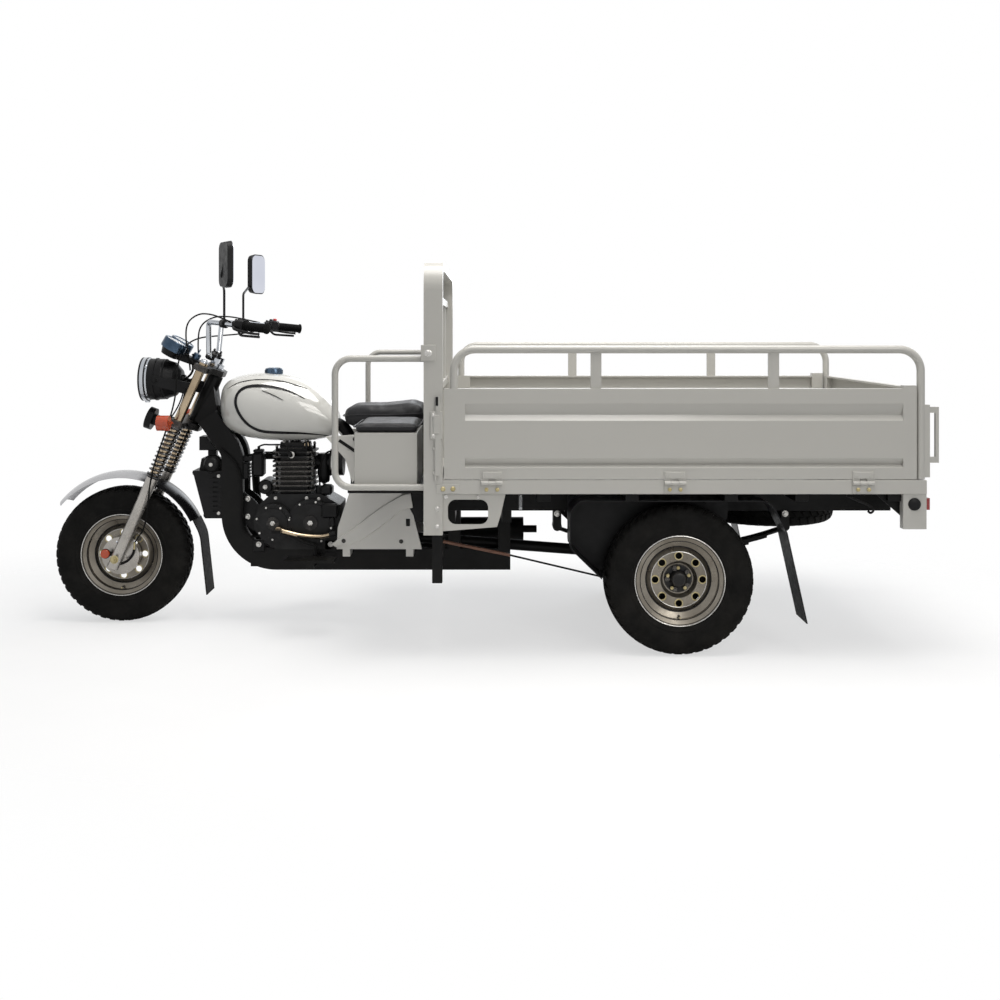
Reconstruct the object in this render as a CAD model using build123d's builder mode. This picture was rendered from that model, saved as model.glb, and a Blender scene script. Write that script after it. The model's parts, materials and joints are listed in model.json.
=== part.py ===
"""A cargo motor tricycle: a motorcycle front end joined to a drop-side load bed on two driven rear wheels.

Millimetres. +X is forward, +Y is the vehicle's left, +Z is up. The origin lies on the ground, on the
centre plane, near halfway along the vehicle. Each sub-part is one named node, written to parts/NAME.step.
"""

from build123d import *

import os
from math import cos, radians, sin

os.makedirs("parts", exist_ok=True)

# Driving dimensions: wheels and stance
wheelbase = 2264.0
front_axle_x = 1484.0
tyre_radius = 284.0
tyre_width = 132.0
wheel_inset = 115.0
rim_flange_radius = 172.0
rim_seat_radius = 152.0
rim_well_radius = 128.0
rim_width = 104.0
rim_sheet = 4.0
hub_bore_radius = 30.0
hub_flange_radius = 54.0

# Driving dimensions: load bed
bed_length = 1800.0
bed_width = 1250.0
bed_front_x = 112.0
floor_top_z = 672.0
floor_sheet = 4.0
bed_rail_height = 52.0
bed_rail_width = 42.0
board_lift = 4.0
board_height = 336.0
board_thickness = 30.0
board_sheet = 5.0
load_rail_tube = 30.0
load_rail_rise = 146.0
load_rail_bend = 80.0
tail_post_length = 50.0
tail_post_rise = 12.0
hinge_pin_diameter = 8.0
hinge_barrel_diameter = 16.0
hinge_axis_z = 662.0

# Driving dimensions: headboard and driver's place
post_depth = 71.0
post_width = 35.0
post_bottom_z = 467.0
arch_top_z = 1491.0
arch_bend = 90.0
guard_tube = 25.0
guard_front_x = 528.0
guard_top_z = 1136.0
guard_bottom_z = 630.0
guard_bend = 60.0
platform_top_z = 640.0
platform_thickness = 22.0
platform_front_x = 470.0
box_rear_x = 209.0
box_front_x = 445.0
box_top_z = 844.0
box_inner_y = 214.0
cushion_thickness = 34.0
saddle_front_x = 556.0
saddle_half_width = 165.0
saddle_top_z = 932.0
saddle_bottom_z = 826.0

# Driving dimensions: chassis under the bed
beam_height = 104.0
beam_width = 50.0
beam_from_wheel = 185.0
cross_bar_height = 30.0
cross_bar_width = 50.0
spare_from_tail = 459.0
spare_top_z = 568.0

# Driving dimensions: motorcycle frame
frame_rail_height = 88.0
frame_rail_width = 40.0
frame_rail_y = 62.0
frame_rail_bottom_z = 227.0
frame_rear_x = -150.0
down_beam_x = 1014.0
frame_bend = 185.0
backbone_diameter = 50.0
backbone_z = 838.0

# Driving dimensions: steering
rake = 24.0
steering_offset = 45.0
fork_half_spacing = 116.0
fork_tube_diameter = 38.0
slider_diameter = 48.0
slider_top = 372.0
slider_foot = 44.0
spring_diameter = 62.0
spring_turns = 11
low_crown = 612.0
top_crown = 862.0
crown_thickness = 26.0
stem_diameter = 30.0
head_tube_diameter = 62.0
front_axle_diameter = 16.0
fender_radius = 350.0
fender_width = 148.0

# Clearances between pieces
pin_clearance = 0.3
fit_clearance = 0.1
piece_clearance = 0.5
tunnel_clearance = 4.0
running_gap = 6.0

rear_axle_x = front_axle_x - wheelbase
bed_rear_x = bed_front_x - bed_length
half_bed = bed_width / 2
wheel_centre_y = half_bed - wheel_inset
beam_centre_y = wheel_centre_y - beam_from_wheel
half_tyre = tyre_width / 2
board_bottom_z = floor_top_z + board_lift
board_top_z = board_bottom_z + board_height
rail_bottom_z = floor_top_z - bed_rail_height
post_centre_x = bed_front_x + post_depth / 2
post_front_x = bed_front_x + post_depth
post_y = half_bed - post_width / 2
guard_y = half_bed - guard_tube
beam_bottom_z = rail_bottom_z - beam_height
spare_centre_x = bed_rear_x + spare_from_tail
load_rail_z = board_top_z + load_rail_rise
frame_rail_z = frame_rail_bottom_z + frame_rail_height / 2
frame_rail_top_z = frame_rail_bottom_z + frame_rail_height
hinge_y = half_bed + hinge_barrel_diameter / 2 + 1
gate_hinge_x = bed_rear_x - hinge_barrel_diameter / 2 - 1

# The fork's own plane: origin on the front axle, z up along the legs, x square to them and forward
fork_plane = Plane(
    origin=(front_axle_x, 0, tyre_radius),
    x_dir=(cos(radians(rake)), 0, sin(radians(rake))),
    z_dir=(-sin(radians(rake)), 0, cos(radians(rake))),
)


def fork_point(forward, left, up):
    """A point given in the fork's own plane."""
    return fork_plane.from_local_coords(Vector(forward, left, up))


def fork_outline(forward, up):
    """The same on the centre plane, as the (x, z) pair that plate() takes."""
    point = fork_point(forward, 0, up)
    return (point.X, point.Z)


def save(part, name):
    """Label a finished sub-part and write it as one STEP file."""
    part.label = name
    export_step(part, f"parts/{name}.step")


def both_sides(part):
    """A left-hand piece together with its right-hand mirror image."""
    with BuildPart(mode=Mode.PRIVATE) as pair:
        add(part)
        add(part.mirror(Plane.XZ))
    return pair.part


def box(x_range, y_range, z_range, mode=Mode.ADD):
    """A plain box named by its three ranges, joined to or cut from the part in hand."""
    ranges = (x_range, y_range, z_range)
    with Locations(tuple(sum(pair) / 2 for pair in ranges)):
        Box(*[pair[1] - pair[0] for pair in ranges], mode=mode)


def block(x_range, y_range, z_range):
    """A plain box as a part of its own."""
    with BuildPart(mode=Mode.PRIVATE) as lone:
        box(x_range, y_range, z_range)
    return lone.part


def round_tube(points, bend, diameter):
    """A round bar along straight runs joined by tangent bends."""
    with BuildPart(mode=Mode.PRIVATE) as tube:
        with BuildLine() as path:
            if len(points) > 2:
                FilletPolyline(*points, radius=bend)
            else:
                Line(*points)
        with BuildSketch(Plane(origin=path.line @ 0, z_dir=path.line % 0)):
            Circle(diameter / 2)
        sweep(path=path.line)
    return tube.part


def flat_bar(points, bend, width, height, side_axis=(0, 1, 0)):
    """A rectangular bar along a planar path, width along side_axis and height within the path's plane."""
    with BuildPart(mode=Mode.PRIVATE) as bar:
        with BuildLine() as path:
            if len(points) > 2:
                FilletPolyline(*points, radius=bend)
            else:
                Line(*points)
        with BuildSketch(Plane(origin=path.line @ 0, x_dir=side_axis, z_dir=path.line % 0)):
            Rectangle(width, height)
        sweep(path=path.line)
    return bar.part


def plate(outline, y_low, y_high):
    """A flat piece cut to an outline of (x, z) points, standing between two values of y."""
    with BuildPart(mode=Mode.PRIVATE) as sheet:
        with BuildSketch(Plane.XZ.offset(-y_high)):
            with BuildLine():
                Polyline(*outline, close=True)
            make_face()
        extrude(amount=y_high - y_low)
    return sheet.part


def turned(profile, location):
    """A solid of revolution about Y: profile holds (radius, y) points, location places it."""
    with BuildPart(mode=Mode.PRIVATE) as body:
        with BuildSketch(Plane.XY):
            with BuildLine():
                Polyline(*profile, close=True)
            make_face()
        revolve(axis=Axis.Y)
    return body.part.moved(location)


# Tyre: one hollow carcass, revolved about the axle

carcass = 13.0
bead_width = 12.0
flange_slant = 7.0


def tyre_side(side):
    """One side's points of the tyre section, tread to bead and back inside, as (radius, y)."""
    half_rim = rim_width / 2
    bead_y = half_rim - flange_slant - piece_clearance
    bead_radius = rim_seat_radius + piece_clearance
    flange_radius = rim_flange_radius + piece_clearance
    return {
        "tread": (tyre_radius - 6, side * 0.74 * half_tyre),
        "shoulder": (tyre_radius - 20, side * 0.92 * half_tyre),
        "belly": (0.81 * tyre_radius, side * half_tyre),
        "heel": (flange_radius + rim_sheet, side * (half_rim + rim_sheet + 2)),
        "lip": (flange_radius, side * (half_rim + rim_sheet)),
        "root": (flange_radius, side * (half_rim - piece_clearance)),
        "bead": (bead_radius, side * bead_y),
        "toe": (bead_radius, side * (bead_y - bead_width)),
        "inside_low": (rim_flange_radius + 10, side * (bead_y - bead_width)),
        "inside_belly": (0.81 * tyre_radius, side * (half_tyre - carcass)),
        "inside_high": (tyre_radius - 34, side * 0.62 * half_tyre),
    }


def make_tyre(location):
    """A tyre whose axle lies along Y before it is placed."""
    left = tyre_side(1)
    right = tyre_side(-1)
    with BuildPart() as tyre:
        with BuildSketch(Plane.XY):
            with BuildLine():
                ThreePointArc(right["tread"], (tyre_radius, 0), left["tread"])
                ThreePointArc(right["inside_high"], (tyre_radius - 26, 0), left["inside_high"])
                for side in (left, right):
                    Line(side["tread"], side["shoulder"])
                    ThreePointArc(side["shoulder"], side["belly"], side["heel"])
                    Polyline(
                        side["heel"], side["lip"], side["root"], side["bead"], side["toe"], side["inside_low"]
                    )
                    ThreePointArc(side["inside_low"], side["inside_belly"], side["inside_high"])
            make_face()
        revolve(axis=Axis.Y)
    return tyre.part.moved(location)


# Wheel: pressed rim with a drop centre, and a dished disc with vents

dish_depth = 26.0
vent_count = 8
vent_radius = 13.0
vent_circle_radius = 90.0


def make_rim(location):
    """A pressed-steel wheel dished towards +Y, its axle along Y before it is placed."""
    half = rim_width / 2
    outside = [
        (rim_flange_radius, half + rim_sheet),
        (rim_flange_radius, half),
        (rim_seat_radius, half - flange_slant),
        (rim_seat_radius, half - 26),
        (rim_well_radius, half - 36),
    ]
    sheet = [(radius - rim_sheet, y) for radius, y in outside]
    mirrored = [(radius, -y) for radius, y in reversed(outside)]
    mirrored_sheet = [(radius, -y) for radius, y in reversed(sheet)]
    disc_edge = rim_well_radius - 2
    with BuildPart() as rim:
        with BuildSketch(Plane.XY):
            with BuildLine():
                Polyline(*outside, *mirrored, *reversed(mirrored_sheet), *reversed(sheet), close=True)
            make_face()
            with BuildLine():
                Polyline(
                    (hub_bore_radius, 4),
                    (hub_flange_radius + 4, 4),
                    (hub_flange_radius + 16, dish_depth),
                    (disc_edge - 20, dish_depth),
                    (disc_edge, 10),
                    (disc_edge, 2),
                    (disc_edge - 24, dish_depth - 6),
                    (hub_flange_radius + 20, dish_depth - 6),
                    (hub_flange_radius + 8, -2),
                    (hub_bore_radius, -2),
                    close=True,
                )
            make_face()
        revolve(axis=Axis.Y)
        with BuildSketch(Plane.XZ.offset(-dish_depth - 2)):
            with PolarLocations(vent_circle_radius, vent_count):
                Circle(vent_radius)
        extrude(amount=12, mode=Mode.SUBTRACT)
    return rim.part.moved(location)


# Frame of the motorcycle part

def make_main_frame():
    """Twin rails bent up to the steering head, the backbone, head tube, seat posts and cross pieces."""
    head_low = low_crown + crown_thickness / 2 + running_gap
    head_high = top_crown - crown_thickness / 2 - running_gap
    with BuildPart() as frame:
        for side in (1, -1):
            y = side * frame_rail_y
            add(flat_bar(
                [
                    fork_point(-steering_offset - 51, y, low_crown + 68),
                    (down_beam_x, y, 720),
                    (down_beam_x, y, frame_rail_z),
                    (frame_rear_x, y, frame_rail_z),
                ],
                [110, frame_bend],
                frame_rail_width,
                frame_rail_height,
            ))
            inner, outer = sorted((y - side * frame_rail_width / 2, y + side * frame_rail_width / 2))
            for x in (bed_front_x - 52, frame_rear_x):
                box((x, x + 50), (inner, outer), (frame_rail_top_z - 2, beam_bottom_z))
            box((410, 460), (inner, outer), (frame_rail_top_z - 2, platform_top_z - platform_thickness))
        for x in (bed_front_x - 38, frame_rear_x):
            box((x, x + 38), (-beam_centre_y, beam_centre_y), (beam_bottom_z - 50, beam_bottom_z))
        for x in (-100, 420, 760, 900):
            box((x, x + 40), (-frame_rail_y, frame_rail_y), (frame_rail_bottom_z + 10, frame_rail_top_z - 20))
        add(round_tube(
            [(1150, 0, 914), (985, 0, backbone_z), (545, 0, backbone_z), (500, 0, platform_top_z - 55)],
            [120, 80],
            backbone_diameter,
        ))
        box((410, 520), (-frame_rail_y, frame_rail_y), (560, platform_top_z - platform_thickness - 6))
        for x in (640, 880):
            pad_top_z = backbone_z + backbone_diameter / 2 + tunnel_clearance
            box((x, x + 40), (-12, 12), (backbone_z + 15, pad_top_z))
        add(plate(
            [(1100, 990), (1180, 850), (1150, 830), (1070, 780), (1052, 796), (1085, 880)],
            -frame_rail_y + frame_rail_width / 2 - 5,
            frame_rail_y - frame_rail_width / 2 + 5,
        ))
        with BuildSketch(fork_plane.offset(head_low)):
            with Locations((-steering_offset, 0)):
                Circle(head_tube_diameter / 2)
        extrude(amount=head_high - head_low)
        with BuildSketch(fork_plane.offset(head_low - 60)):
            with Locations((-steering_offset, 0)):
                Circle(stem_diameter / 2 + pin_clearance)
        extrude(amount=head_high - head_low + 120, mode=Mode.SUBTRACT)
    return frame.part


save(make_main_frame(), "main_frame")


# Chassis ladder under the bed

cross_bar_xs = (
    bed_front_x - 52,
    rear_axle_x + 490,
    rear_axle_x + 160,
    rear_axle_x - 210,
    spare_centre_x - cross_bar_width / 2,
    bed_rear_x + 88,
)


def make_bed_chassis():
    """Two long beams with cross bars that carry the floor and reach the outer rails."""
    rail_inner_y = half_bed - bed_rail_width
    with BuildPart() as ladder:
        for side in (1, -1):
            edges = sorted((side * (beam_centre_y - beam_width / 2), side * (beam_centre_y + beam_width / 2)))
            box((bed_rear_x + 40, bed_front_x), edges, (beam_bottom_z, rail_bottom_z))
            gusset_y = side * (rail_inner_y - 5)
            gusset_x = bed_rear_x + 36
            add(plate(
                [(gusset_x + 142, rail_bottom_z - 4), (gusset_x, rail_bottom_z - 4), (gusset_x, 492)],
                gusset_y - 3,
                gusset_y + 3,
            ))
        for x in cross_bar_xs:
            box(
                (x, x + cross_bar_width),
                (-rail_inner_y - 20, rail_inner_y + 20),
                (rail_bottom_z - cross_bar_height, rail_bottom_z),
            )
        disc_low_z = spare_top_z - half_tyre - 2
        box((spare_centre_x - 16, spare_centre_x + 16), (-52, 52), (disc_low_z - 12, disc_low_z))
        with BuildSketch(Plane.XY.offset(disc_low_z - 4)):
            with Locations((spare_centre_x, 0)):
                Circle(9)
        extrude(amount=rail_bottom_z - cross_bar_height - disc_low_z + 6)
    return ladder.part


save(make_bed_chassis(), "bed_chassis")


def make_bed_floor():
    """The floor sheet with its side, front and rear rails."""
    with BuildPart() as floor:
        box((bed_rear_x, bed_front_x), (-half_bed, half_bed), (floor_top_z - floor_sheet, floor_top_z))
        for side in (1, -1):
            edges = sorted((side * (half_bed - bed_rail_width), side * half_bed))
            box((bed_rear_x, bed_front_x), edges, (rail_bottom_z, floor_top_z - floor_sheet / 2))
        for x in (bed_rear_x, bed_front_x - bed_rail_width):
            box((x, x + bed_rail_width), (-half_bed, half_bed), (rail_bottom_z, floor_top_z - 1))
        for x in cross_bar_xs[1:-1]:
            box(
                (x, x + cross_bar_width),
                (-half_bed + 1, half_bed - 1),
                (rail_bottom_z, floor_top_z - 1),
            )
    return floor.part


save(make_bed_floor(), "bed_floor")


# Hinges along the bed, at the middle of each knuckle

hinge_xs = (bed_front_x - 183, (bed_front_x + bed_rear_x) / 2 + 37, bed_rear_x + 238)
knuckle_length = 26.0
knuckle_gap = 1.0
hinge_leaf = 4.0
leaf_width = 80.0


def make_side_hinges():
    """The fixed halves of the side hinges: a leaf on the rail and the middle knuckle, on both sides."""
    with BuildPart() as hinges:
        for x in hinge_xs:
            box(
                (x - leaf_width / 2, x + leaf_width / 2),
                (half_bed, half_bed + hinge_leaf),
                (rail_bottom_z + 4, hinge_axis_z - hinge_barrel_diameter / 2 - 1),
            )
            box(
                (x - knuckle_length / 2, x + knuckle_length / 2),
                (half_bed, half_bed + hinge_leaf),
                (rail_bottom_z + 4, hinge_axis_z),
            )
            with BuildSketch(Plane.YZ.offset(x - knuckle_length / 2)):
                with Locations((hinge_y, hinge_axis_z)):
                    Circle(hinge_barrel_diameter / 2)
            extrude(amount=knuckle_length)
            with BuildSketch(Plane.YZ.offset(x - knuckle_length / 2)):
                with Locations((hinge_y, hinge_axis_z)):
                    Circle(hinge_pin_diameter / 2 + pin_clearance)
            extrude(amount=knuckle_length, mode=Mode.SUBTRACT)
            for bolt_x in (x - 20, x + 20):
                with BuildSketch(Plane.XZ.offset(-half_bed - hinge_leaf)):
                    with Locations((bolt_x, rail_bottom_z + 18)):
                        RegularPolygon(8, 6)
                extrude(amount=-4)
    return both_sides(hinges.part)


gate_hinge_ys = (-430.0, 0.0, 430.0)


def make_gate_hinges():
    """The fixed halves of the tailgate hinges, on the rear rail."""
    with BuildPart() as hinges:
        for y in gate_hinge_ys:
            box(
                (bed_rear_x - hinge_leaf, bed_rear_x),
                (y - knuckle_length / 2, y + knuckle_length / 2),
                (rail_bottom_z + 4, hinge_axis_z),
            )
            with BuildSketch(Plane.XZ.offset(-y - knuckle_length / 2)):
                with Locations((gate_hinge_x, hinge_axis_z)):
                    Circle(hinge_barrel_diameter / 2)
            extrude(amount=knuckle_length)
            with BuildSketch(Plane.XZ.offset(-y - knuckle_length / 2)):
                with Locations((gate_hinge_x, hinge_axis_z)):
                    Circle(hinge_pin_diameter / 2 + pin_clearance)
            extrude(amount=knuckle_length, mode=Mode.SUBTRACT)
    return hinges.part


def make_board_latches():
    """The upright latch bars on the headboard posts that hold the boards' front ends."""
    with BuildPart() as latch:
        outer = half_bed
        box((bed_front_x + 8, bed_front_x + 26), (outer, outer + 10), (690, 960))
        box((bed_front_x + 4, bed_front_x + 34), (outer, outer + 14), (880, 905))
        box((bed_front_x + 10, bed_front_x + 24), (outer + 9, outer + 13), (930, 985))
    return both_sides(latch.part)


with BuildPart() as bed_fittings:
    add(make_side_hinges())
    add(make_gate_hinges())
    add(make_board_latches())
save(bed_fittings.part, "bed_fittings")


# Pressed board section: rows are height above the board's foot and depth pressed in from the outer face

press_depth = 16.0
board_section = (
    (0.0, 0.0),
    (42.0, 0.0),
    (54.0, press_depth),
    (78.0, 0.0),
    (217.0, 0.0),
    (239.0, press_depth),
    (281.0, 0.0),
    (board_height, 0.0),
)


def board_profile():
    """The pressed sheet's section as (depth from the outer face, height) points, outside then inside."""
    outer = [(depth, height) for height, depth in board_section]
    inner = [(depth + board_sheet, height) for height, depth in board_section]
    return outer + inner[::-1]


def make_side_board(side):
    """A drop side: pressed sheet with a folded edge all round, the rear post and the moving hinge halves."""
    front_x = bed_front_x - 5
    post_rear_x = bed_rear_x + 38
    pressed_front_x = bed_front_x - 83
    pressed_rear_x = post_rear_x + tail_post_length
    outer_y = side * half_bed
    with BuildPart() as board:
        with BuildSketch(Plane.YZ.offset(pressed_rear_x)):
            with BuildLine():
                Polyline(
                    *[(outer_y - side * depth, board_bottom_z + height) for depth, height in board_profile()],
                    close=True,
                )
            make_face()
        extrude(amount=pressed_front_x - pressed_rear_x)
        inner_y = outer_y - side * board_thickness
        span = sorted((inner_y, outer_y))
        box((pressed_front_x, front_x), span, (board_bottom_z, board_top_z))
        box((post_rear_x, pressed_rear_x), span, (board_bottom_z, board_top_z + tail_post_rise))
        for low in (board_bottom_z, board_top_z - 8):
            box((pressed_rear_x, pressed_front_x), span, (low, low + 8))
        for x in hinge_xs:
            leaf = sorted((outer_y, outer_y + side * hinge_leaf))
            box((x - leaf_width / 2, x + leaf_width / 2), leaf, (board_bottom_z, board_bottom_z + 30))
            for start in (x - leaf_width / 2, x + knuckle_length / 2 + knuckle_gap):
                length = leaf_width / 2 - knuckle_length / 2 - knuckle_gap
                near = sorted((outer_y + side * 1.0, outer_y + side * (1.0 + hinge_leaf)))
                box((start, start + length), near, (hinge_axis_z, board_bottom_z + 2))
                with BuildSketch(Plane.YZ.offset(start)):
                    with Locations((side * hinge_y, hinge_axis_z)):
                        Circle(hinge_barrel_diameter / 2)
                extrude(amount=length)
            with BuildSketch(Plane.YZ.offset(x - leaf_width / 2)):
                with Locations((side * hinge_y, hinge_axis_z)):
                    Circle(hinge_pin_diameter / 2)
            extrude(amount=leaf_width)
    return board.part


def make_load_rail(side):
    """The tube rail above a drop side, its two stanchions, and the over-centre latch on its rear leg."""
    y = side * (half_bed - board_thickness / 2)
    front_x = bed_front_x - 41
    rear_x = bed_rear_x + 18
    with BuildPart() as rail:
        add(round_tube(
            [
                (front_x, y, board_top_z),
                (front_x, y, load_rail_z),
                (rear_x, y, load_rail_z),
                (rear_x, y, board_bottom_z),
            ],
            load_rail_bend,
            load_rail_tube,
        ))
        for x in (bed_front_x - 571, bed_rear_x + 567):
            box((x - 20, x + 20), (y - 6, y + 6), (board_top_z, load_rail_z))
        leg_x = rear_x - load_rail_tube / 2
        box((leg_x - 16, leg_x + 4), (y - 10, y + 10), (board_bottom_z + 6, board_top_z - 60))
        box((leg_x - 50, leg_x - 38), (y - 8, y + 8), (board_bottom_z + 60, board_top_z - 70))
        for low in (board_bottom_z + 60, board_top_z - 90):
            box((leg_x - 50, leg_x - 14), (y - 8, y + 8), (low, low + 22))
    return rail.part


for side, word in ((1, "left"), (-1, "right")):
    save(make_side_board(side), f"side_board_{word}")
    save(make_load_rail(side), f"load_rail_{word}")


def make_tailgate():
    """The rear drop board between the two side boards' posts, with its moving hinge halves."""
    half_gate = half_bed - board_thickness - running_gap
    with BuildPart() as gate:
        with BuildSketch(Plane.XZ.offset(-half_gate + 40)):
            with BuildLine():
                Polyline(
                    *[(bed_rear_x + depth, board_bottom_z + height) for depth, height in board_profile()],
                    close=True,
                )
            make_face()
        extrude(amount=2 * half_gate - 80)
        depth = (bed_rear_x, bed_rear_x + board_thickness)
        for side in (1, -1):
            ends = sorted((side * (half_gate - 40), side * half_gate))
            box(depth, ends, (board_bottom_z, board_top_z))
        for low in (board_bottom_z, board_top_z - 8):
            box(depth, (40 - half_gate, half_gate - 40), (low, low + 8))
        for y in gate_hinge_ys:
            box(
                (bed_rear_x - hinge_leaf, bed_rear_x),
                (y - leaf_width / 2, y + leaf_width / 2),
                (board_bottom_z, board_bottom_z + 30),
            )
            for start in (y - leaf_width / 2, y + knuckle_length / 2 + knuckle_gap):
                length = leaf_width / 2 - knuckle_length / 2 - knuckle_gap
                box(
                    (bed_rear_x - 1 - hinge_leaf, bed_rear_x - 1),
                    (start, start + length),
                    (hinge_axis_z, board_bottom_z + 2),
                )
                with BuildSketch(Plane.XZ.offset(-start - length)):
                    with Locations((gate_hinge_x, hinge_axis_z)):
                        Circle(hinge_barrel_diameter / 2)
                extrude(amount=length)
            with BuildSketch(Plane.XZ.offset(-y - leaf_width / 2)):
                with Locations((gate_hinge_x, hinge_axis_z)):
                    Circle(hinge_pin_diameter / 2)
            extrude(amount=leaf_width)
    return gate.part


save(make_tailgate(), "tailgate")


# Headboard, guards and the driver's place

arch = flat_bar(
    [
        (post_centre_x, post_y, post_bottom_z),
        (post_centre_x, post_y, arch_top_z - post_width / 2),
        (post_centre_x, -post_y, arch_top_z - post_width / 2),
        (post_centre_x, -post_y, post_bottom_z),
    ],
    arch_bend,
    post_depth,
    post_width,
    (1, 0, 0),
)
save(arch, "headboard_arch")


def make_headboard_panel():
    """The pressed sheet and cross bars between the arch's posts."""
    inner_y = half_bed - post_width
    with BuildPart() as panel:
        box((post_centre_x - 2, post_centre_x + 2), (-inner_y, inner_y), (rail_bottom_z, board_top_z))
        for low, depth in ((board_top_z - 30, 30), (rail_bottom_z, 30), (1334, 30)):
            box(
                (post_centre_x - depth / 2, post_centre_x + depth / 2),
                (-inner_y, inner_y),
                (low, low + 30),
            )
        for y in (-330, 0, 330):
            box(
                (post_centre_x - 10, post_centre_x + 10),
                (y - 15, y + 15),
                (rail_bottom_z + 20, 1340),
            )
    return panel.part


save(make_headboard_panel(), "headboard_panel")


def make_guard(side):
    """One side guard loop, welded to the headboard post at both ends."""
    y = side * guard_y
    high = guard_top_z - guard_tube / 2
    low = guard_bottom_z + guard_tube / 2
    front = guard_front_x - guard_tube / 2
    return round_tube(
        [(post_front_x, y, high), (front, y, high), (front, y, low), (post_front_x, y, low)],
        guard_bend,
        guard_tube,
    )


for side, word in ((1, "left"), (-1, "right")):
    save(make_guard(side), f"guard_{word}")

side_outer_y = guard_y - guard_tube / 2 - 1.5
platform_bottom_z = platform_top_z - platform_thickness

with BuildPart() as seat_platform:
    box((post_front_x, platform_front_x), (-side_outer_y, side_outer_y), (platform_bottom_z, platform_top_z))
    box((box_rear_x, box_front_x - 10), (-150, 150), (platform_top_z - 1, saddle_bottom_z))
save(seat_platform.part, "seat_platform")


def rounded_block(x_range, y_range, z_range, radius):
    """A box with all its edges rounded."""
    with BuildPart() as cushion:
        box(x_range, y_range, z_range)
        fillet(cushion.edges(), radius)
    return cushion.part


save(
    both_sides(block((box_rear_x, box_front_x), (box_inner_y, side_outer_y), (platform_top_z, box_top_z))),
    "side_boxes",
)
save(
    both_sides(rounded_block(
        (box_rear_x - 4, box_front_x + 5),
        (box_inner_y, side_outer_y),
        (box_top_z, box_top_z + cushion_thickness),
        12,
    )),
    "side_cushions",
)

def make_saddle():
    """The driver's saddle: a plain closed cushion that slopes down at its nose."""
    with BuildPart() as saddle:
        with BuildSketch(Plane.XZ.offset(-saddle_half_width)):
            with BuildLine():
                Polyline(
                    (box_rear_x - 6, saddle_bottom_z),
                    (saddle_front_x - 90, saddle_bottom_z),
                    (saddle_front_x, saddle_bottom_z + 34),
                    (saddle_front_x - 6, saddle_bottom_z + 66),
                    (saddle_front_x - 60, saddle_top_z - 6),
                    (saddle_front_x - 180, saddle_top_z - 12),
                    (box_rear_x - 6, saddle_top_z),
                    close=True,
                )
            make_face()
        extrude(amount=2 * saddle_half_width)
        with BuildSketch(Plane.XY.offset(saddle_bottom_z - 2)):
            with BuildLine():
                rear_x = box_rear_x - 6
                Line((rear_x, -saddle_half_width + 12), (rear_x, saddle_half_width - 12))
                ThreePointArc(
                    (rear_x, saddle_half_width - 12), (320, saddle_half_width), (440, saddle_half_width - 18)
                )
                ThreePointArc(
                    (440, saddle_half_width - 18), (saddle_front_x, 0), (440, 18 - saddle_half_width)
                )
                ThreePointArc(
                    (440, 18 - saddle_half_width), (320, -saddle_half_width), (rear_x, 12 - saddle_half_width)
                )
            make_face()
        extrude(amount=saddle_top_z - saddle_bottom_z + 4, mode=Mode.INTERSECT)
    return saddle.part


save(make_saddle(), "saddle")


# Fuel tank: the side outline met by the plan outline, with a tunnel for the backbone

tank_front_x = 1068.0
tank_rear_x = 575.0
tank_half_width = 150.0
tank_top_z = 1052.0
tank_bottom_z = 762.0
tank_belly_z = 884.0
cap_x = 854.0
cap_radius = 38.0
cap_height = 34.0
cap_seat_z = 1036.0


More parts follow.
